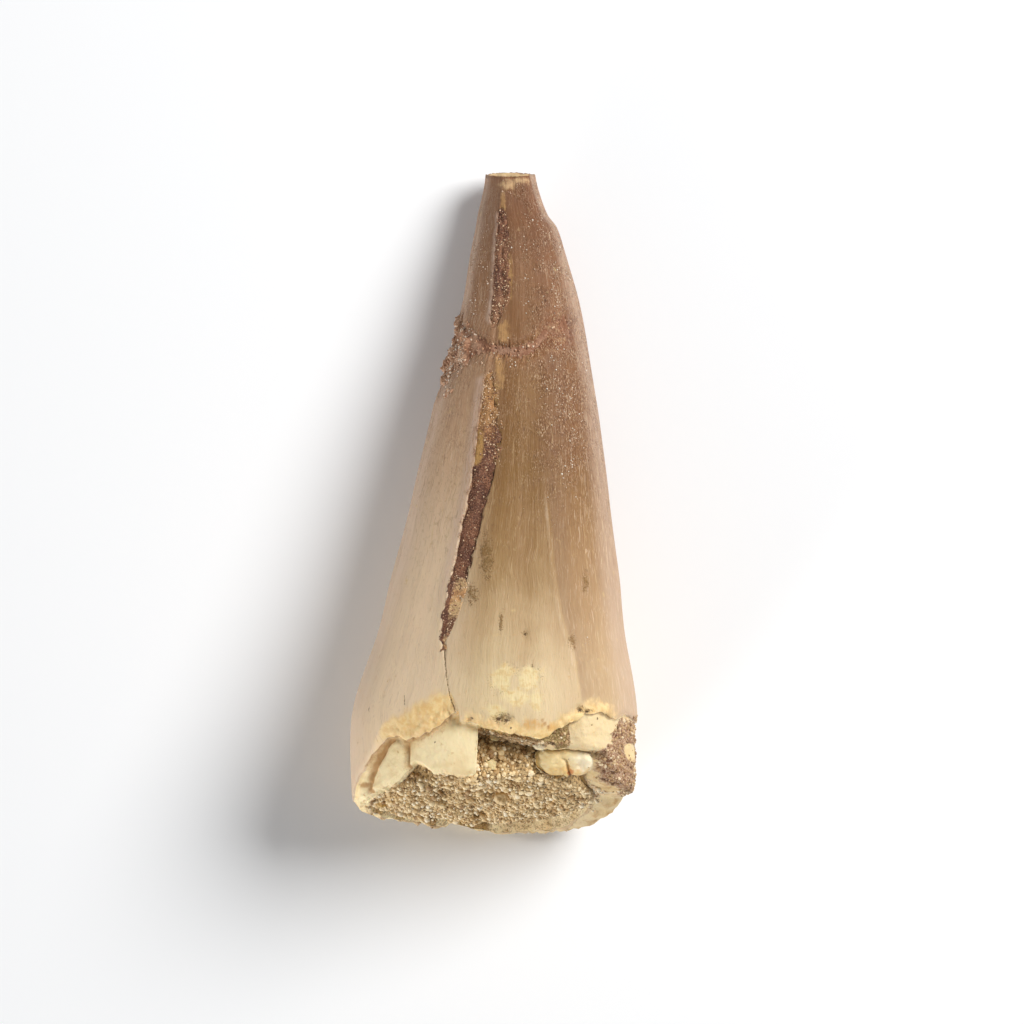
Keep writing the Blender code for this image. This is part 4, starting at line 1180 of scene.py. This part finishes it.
# The bedded chip: its outline, then the slopes of its top.
BEDDED_CHIP = (
    (-2.15, 0.60), (-2.12, -0.05), (-2.03, -0.45), (-1.58, -0.75), (-1.28, -0.98), (-0.28, -1.06),
    (0.05, -0.95), (0.28, -1.22), (0.45, -1.20), (0.75, -0.95), (1.28, -1.05), (1.95, -0.82), (2.15, -0.55),
    (2.24, 0.05), (2.15, 0.35), (1.92, 0.82), (1.48, 0.92), (1.05, 1.05), (0.38, 1.12), (-0.28, 1.04),
    (-1.42, 1.0), (-1.92, 0.88),
)
CHIP_FACETS = (
    (180, 1.3, 0.35), (262, 0.5, 0.5), (80, 0.65, 0.6), (-8, 1.5, 0.55), (-55, 1.15, 0.6), (40, 1.5, 0.5),
    (125, 1.1, 0.5), (215, 1.2, 0.5),
)
bedded_chip = chip(
    "dentine_chip_bedded", BEDDED_CHIP, 1.4, (5.35, -19.35, 14.6), (16, 8, 0), 5.0, CHIP_FACETS, 0.4
)
piece("dentine_chip_bedded", bedded_chip, chip_finish, "dentine", "dentine_chip")
# Flakes: name, place, thickness, outline.
FLAKES = (
    ("white_flake", (3.5, -18.0), 0.6,
     ((-0.6, 0.1), (-0.1, 0.32), (0.55, 0.35), (0.6, -0.1), (0.1, -0.4), (-0.4, -0.25))),
    ("small_flake", (-0.1, -19.45), 0.3,
     ((-0.35, 0.3), (0.2, 0.42), (0.4, 0.1), (0.25, -0.4), (-0.2, -0.35))),
    ("edge_flake", (0.15, -17.4), 0.35,
     ((-0.4, 0.2), (0.2, 0.3), (0.45, -0.1), (0.0, -0.3), (-0.4, -0.15))),
    ("low_flake", (-8.4, -22.6), 0.35,
     ((-0.5, 0.2), (0.1, 0.3), (0.6, 0.05), (0.2, -0.3), (-0.4, -0.25))),
)
for name, place, thickness, outline in FLAKES:
    found = [surface_below(mesh, *place) for mesh in (crown_mesh, matrix_mesh)]
    flake_at = max(found, key=lambda point: point[2]) + (0, 0, 0.4 * thickness)
    flake = chip(name, outline, thickness, flake_at, (8, 6, 10), 3.0)
    piece(name, flake, chip_finish, "dentine")
PEBBLE = (
    (-0.5, 0.1), (-0.32, 0.42), (0.05, 0.52), (0.42, 0.36), (0.55, -0.05), (0.36, -0.42), (-0.05, -0.5),
    (-0.4, -0.32),
)
pebble_at = surface_below(matrix_mesh, 0.57, -21.9)
pebble = chip("pebble", PEBBLE, 0.9, pebble_at + (0, -0.1, 0.2), (35, -12, 0), 4.0)
put(pebble, "paler", np.full((len(CHIP_PROFILE), CHIP_CORNERS), 0.75))
piece("pebble", pebble, sand_finish, "sandy_matrix")


# Brown sand still clings to the right flank below the enamel, and lies in the recess beside the pale block
# on top. Its grains lie where the crown's own share of grains says so.
flank_finish = grain_finish("flank sand", (
    (0.0, (124, 88, 52)), (0.3, (180, 140, 94)), (0.7, (212, 176, 128)),
    (0.9, (238, 208, 162)), (1.0, (250, 234, 200)),
))
scattered("flank_sand", crown_mesh, flank_finish, "sandy_matrix", Closest=0.17, Crowding=30.0,
          Smallest=0.10, Largest=0.34, Sunk=0.02, Unevenness=0.09, Sides=6, Seed=41)


# Small crystals of calcite and quartz are stuck to the enamel, most of all on its upper right side. They
# sit in loose patches and a few tight clusters: X, Y, reach across and along.
SPECKLED = (
    (3.2, 20.5, 1.2, 2.6), (4.6, 16.5, 1.4, 3.0), (5.2, 9.0, 1.5, 3.4), (2.6, 17.0, 0.5, 3.2),
    (4.0, 0.6, 0.35, 0.5), (2.3, 0.1, 0.3, 0.4), (6.1, 4.0, 0.9, 3.0), (-1.6, 11.0, 0.7, 0.8),
    (1.4, 24.0, 0.9, 0.6), (4.5, -1.5, 0.2, 1.6), (7.1, -10.2, 0.3, 0.3), (2.3, 11.2, 1.6, 1.3),
    (-2.6, 12.6, 1.2, 2.4), (1.0, 19.6, 0.4, 0.6), (-1.2, 16.5, 0.9, 3.2), (-0.9, 20.6, 0.6, 2.2),
    (5.9, 9.5, 0.5, 2.4), (5.8, 6.8, 0.5, 0.9), (-3.6, 10.2, 1.0, 1.2), (2.8, 20.2, 0.3, 1.2),
)
speckle_share = seen_from_above * spots(all_x, all_y, SPECKLED) * whole(skin=1.0)
speckle_share *= np.clip(0.25 + 1.8 * lumps(all_x * 1.6, all_y * 0.9, 0.0, 4.0), 0, 1)
CLUSTERS = (
    (2.7, 21.15, 0.10, 0.28), (3.0, 19.4, 0.26, 0.14), (3.9, 19.9, 0.16, 0.26), (4.06, 0.73, 0.24, 0.16),
    (7.16, -10.2, 0.22, 0.16), (4.4, 10.9, 0.2, 0.34), (0.9, 23.9, 0.3, 0.2), (-2.3, 13.3, 0.3, 0.3),
    (2.5, 17.4, 0.16, 0.5),
)
speckle_share = np.maximum(speckle_share, seen_from_above * spots(all_x, all_y, CLUSTERS) * whole(skin=1.0))
put(crown_mesh, "grains", speckle_share, at_ends=0)
speck_finish = grain_finish("crystals", (
    (0.0, (150, 108, 78)), (0.4, (196, 158, 126)), (0.8, (226, 196, 166)), (1.0, (252, 240, 222)),
), 0.3)
scattered("crystals", crown_mesh, speck_finish, "enamel_and_dentine",
          Closest=0.08, Crowding=40.0, Smallest=0.04, Largest=0.15, Unevenness=0.03, Sides=4, Seed=51)


# The studio: a white floor, a soft lamp at the upper right and bright walls all round, with the camera
# straight above the tooth.
FLOOR_HALF = 0.6
floor_mesh = bpy.data.meshes.new("floor")
floor_corners = [(FLOOR_HALF * x, FLOOR_HALF * y, 0) for x, y in ((-1, -1), (1, -1), (1, 1), (-1, 1))]
floor_mesh.from_pydata(floor_corners, [], [(0, 1, 2, 3)])
floor = bpy.data.objects.new("floor", floor_mesh)
bpy.context.scene.collection.objects.link(floor)
floor_finish = Finish("white floor", Roughness=0.9, Specular_IOR_Level=0.2)
floor_finish.set("Base Color", (0.95, 0.95, 0.95, 1.0))
floor_mesh.materials.append(floor_finish.material)

world = bpy.data.worlds.new("studio walls")
bpy.context.scene.world = world
world.use_nodes = True
walls = world.node_tree.nodes["Background"].inputs
walls["Color"].default_value = (0.95, 0.985, 1.03, 1.0)
walls["Strength"].default_value = 0.22


def soft_lamp(name, at, size, energy):
    """A round soft lamp at a place in metres, aimed at the tooth."""
    lamp_data = bpy.data.lights.new(name, "AREA")
    lamp_data.shape = "DISK"
    lamp_data.size = size
    lamp_data.energy = energy
    lamp = bpy.data.objects.new(name, lamp_data)
    bpy.context.scene.collection.objects.link(lamp)
    lamp.location = at
    lamp.rotation_euler = (-lamp.location).to_track_quat("-Z", "Y").to_euler()


soft_lamp("main lamp", (0.28, 0.18, 0.31), 0.26, 2.4)
soft_lamp("low lamp", (-0.30, -0.33, 0.08), 0.17, 1.4)

camera_data = bpy.data.cameras.new("camera")
camera_data.lens = 280.0
camera_data.clip_start = 0.01
camera = bpy.data.objects.new("camera", camera_data)
bpy.context.scene.collection.objects.link(camera)
camera.location = (0.001395, -0.00064, 0.609)
bpy.context.scene.camera = camera
bpy.context.scene.view_settings.view_transform = "Standard"
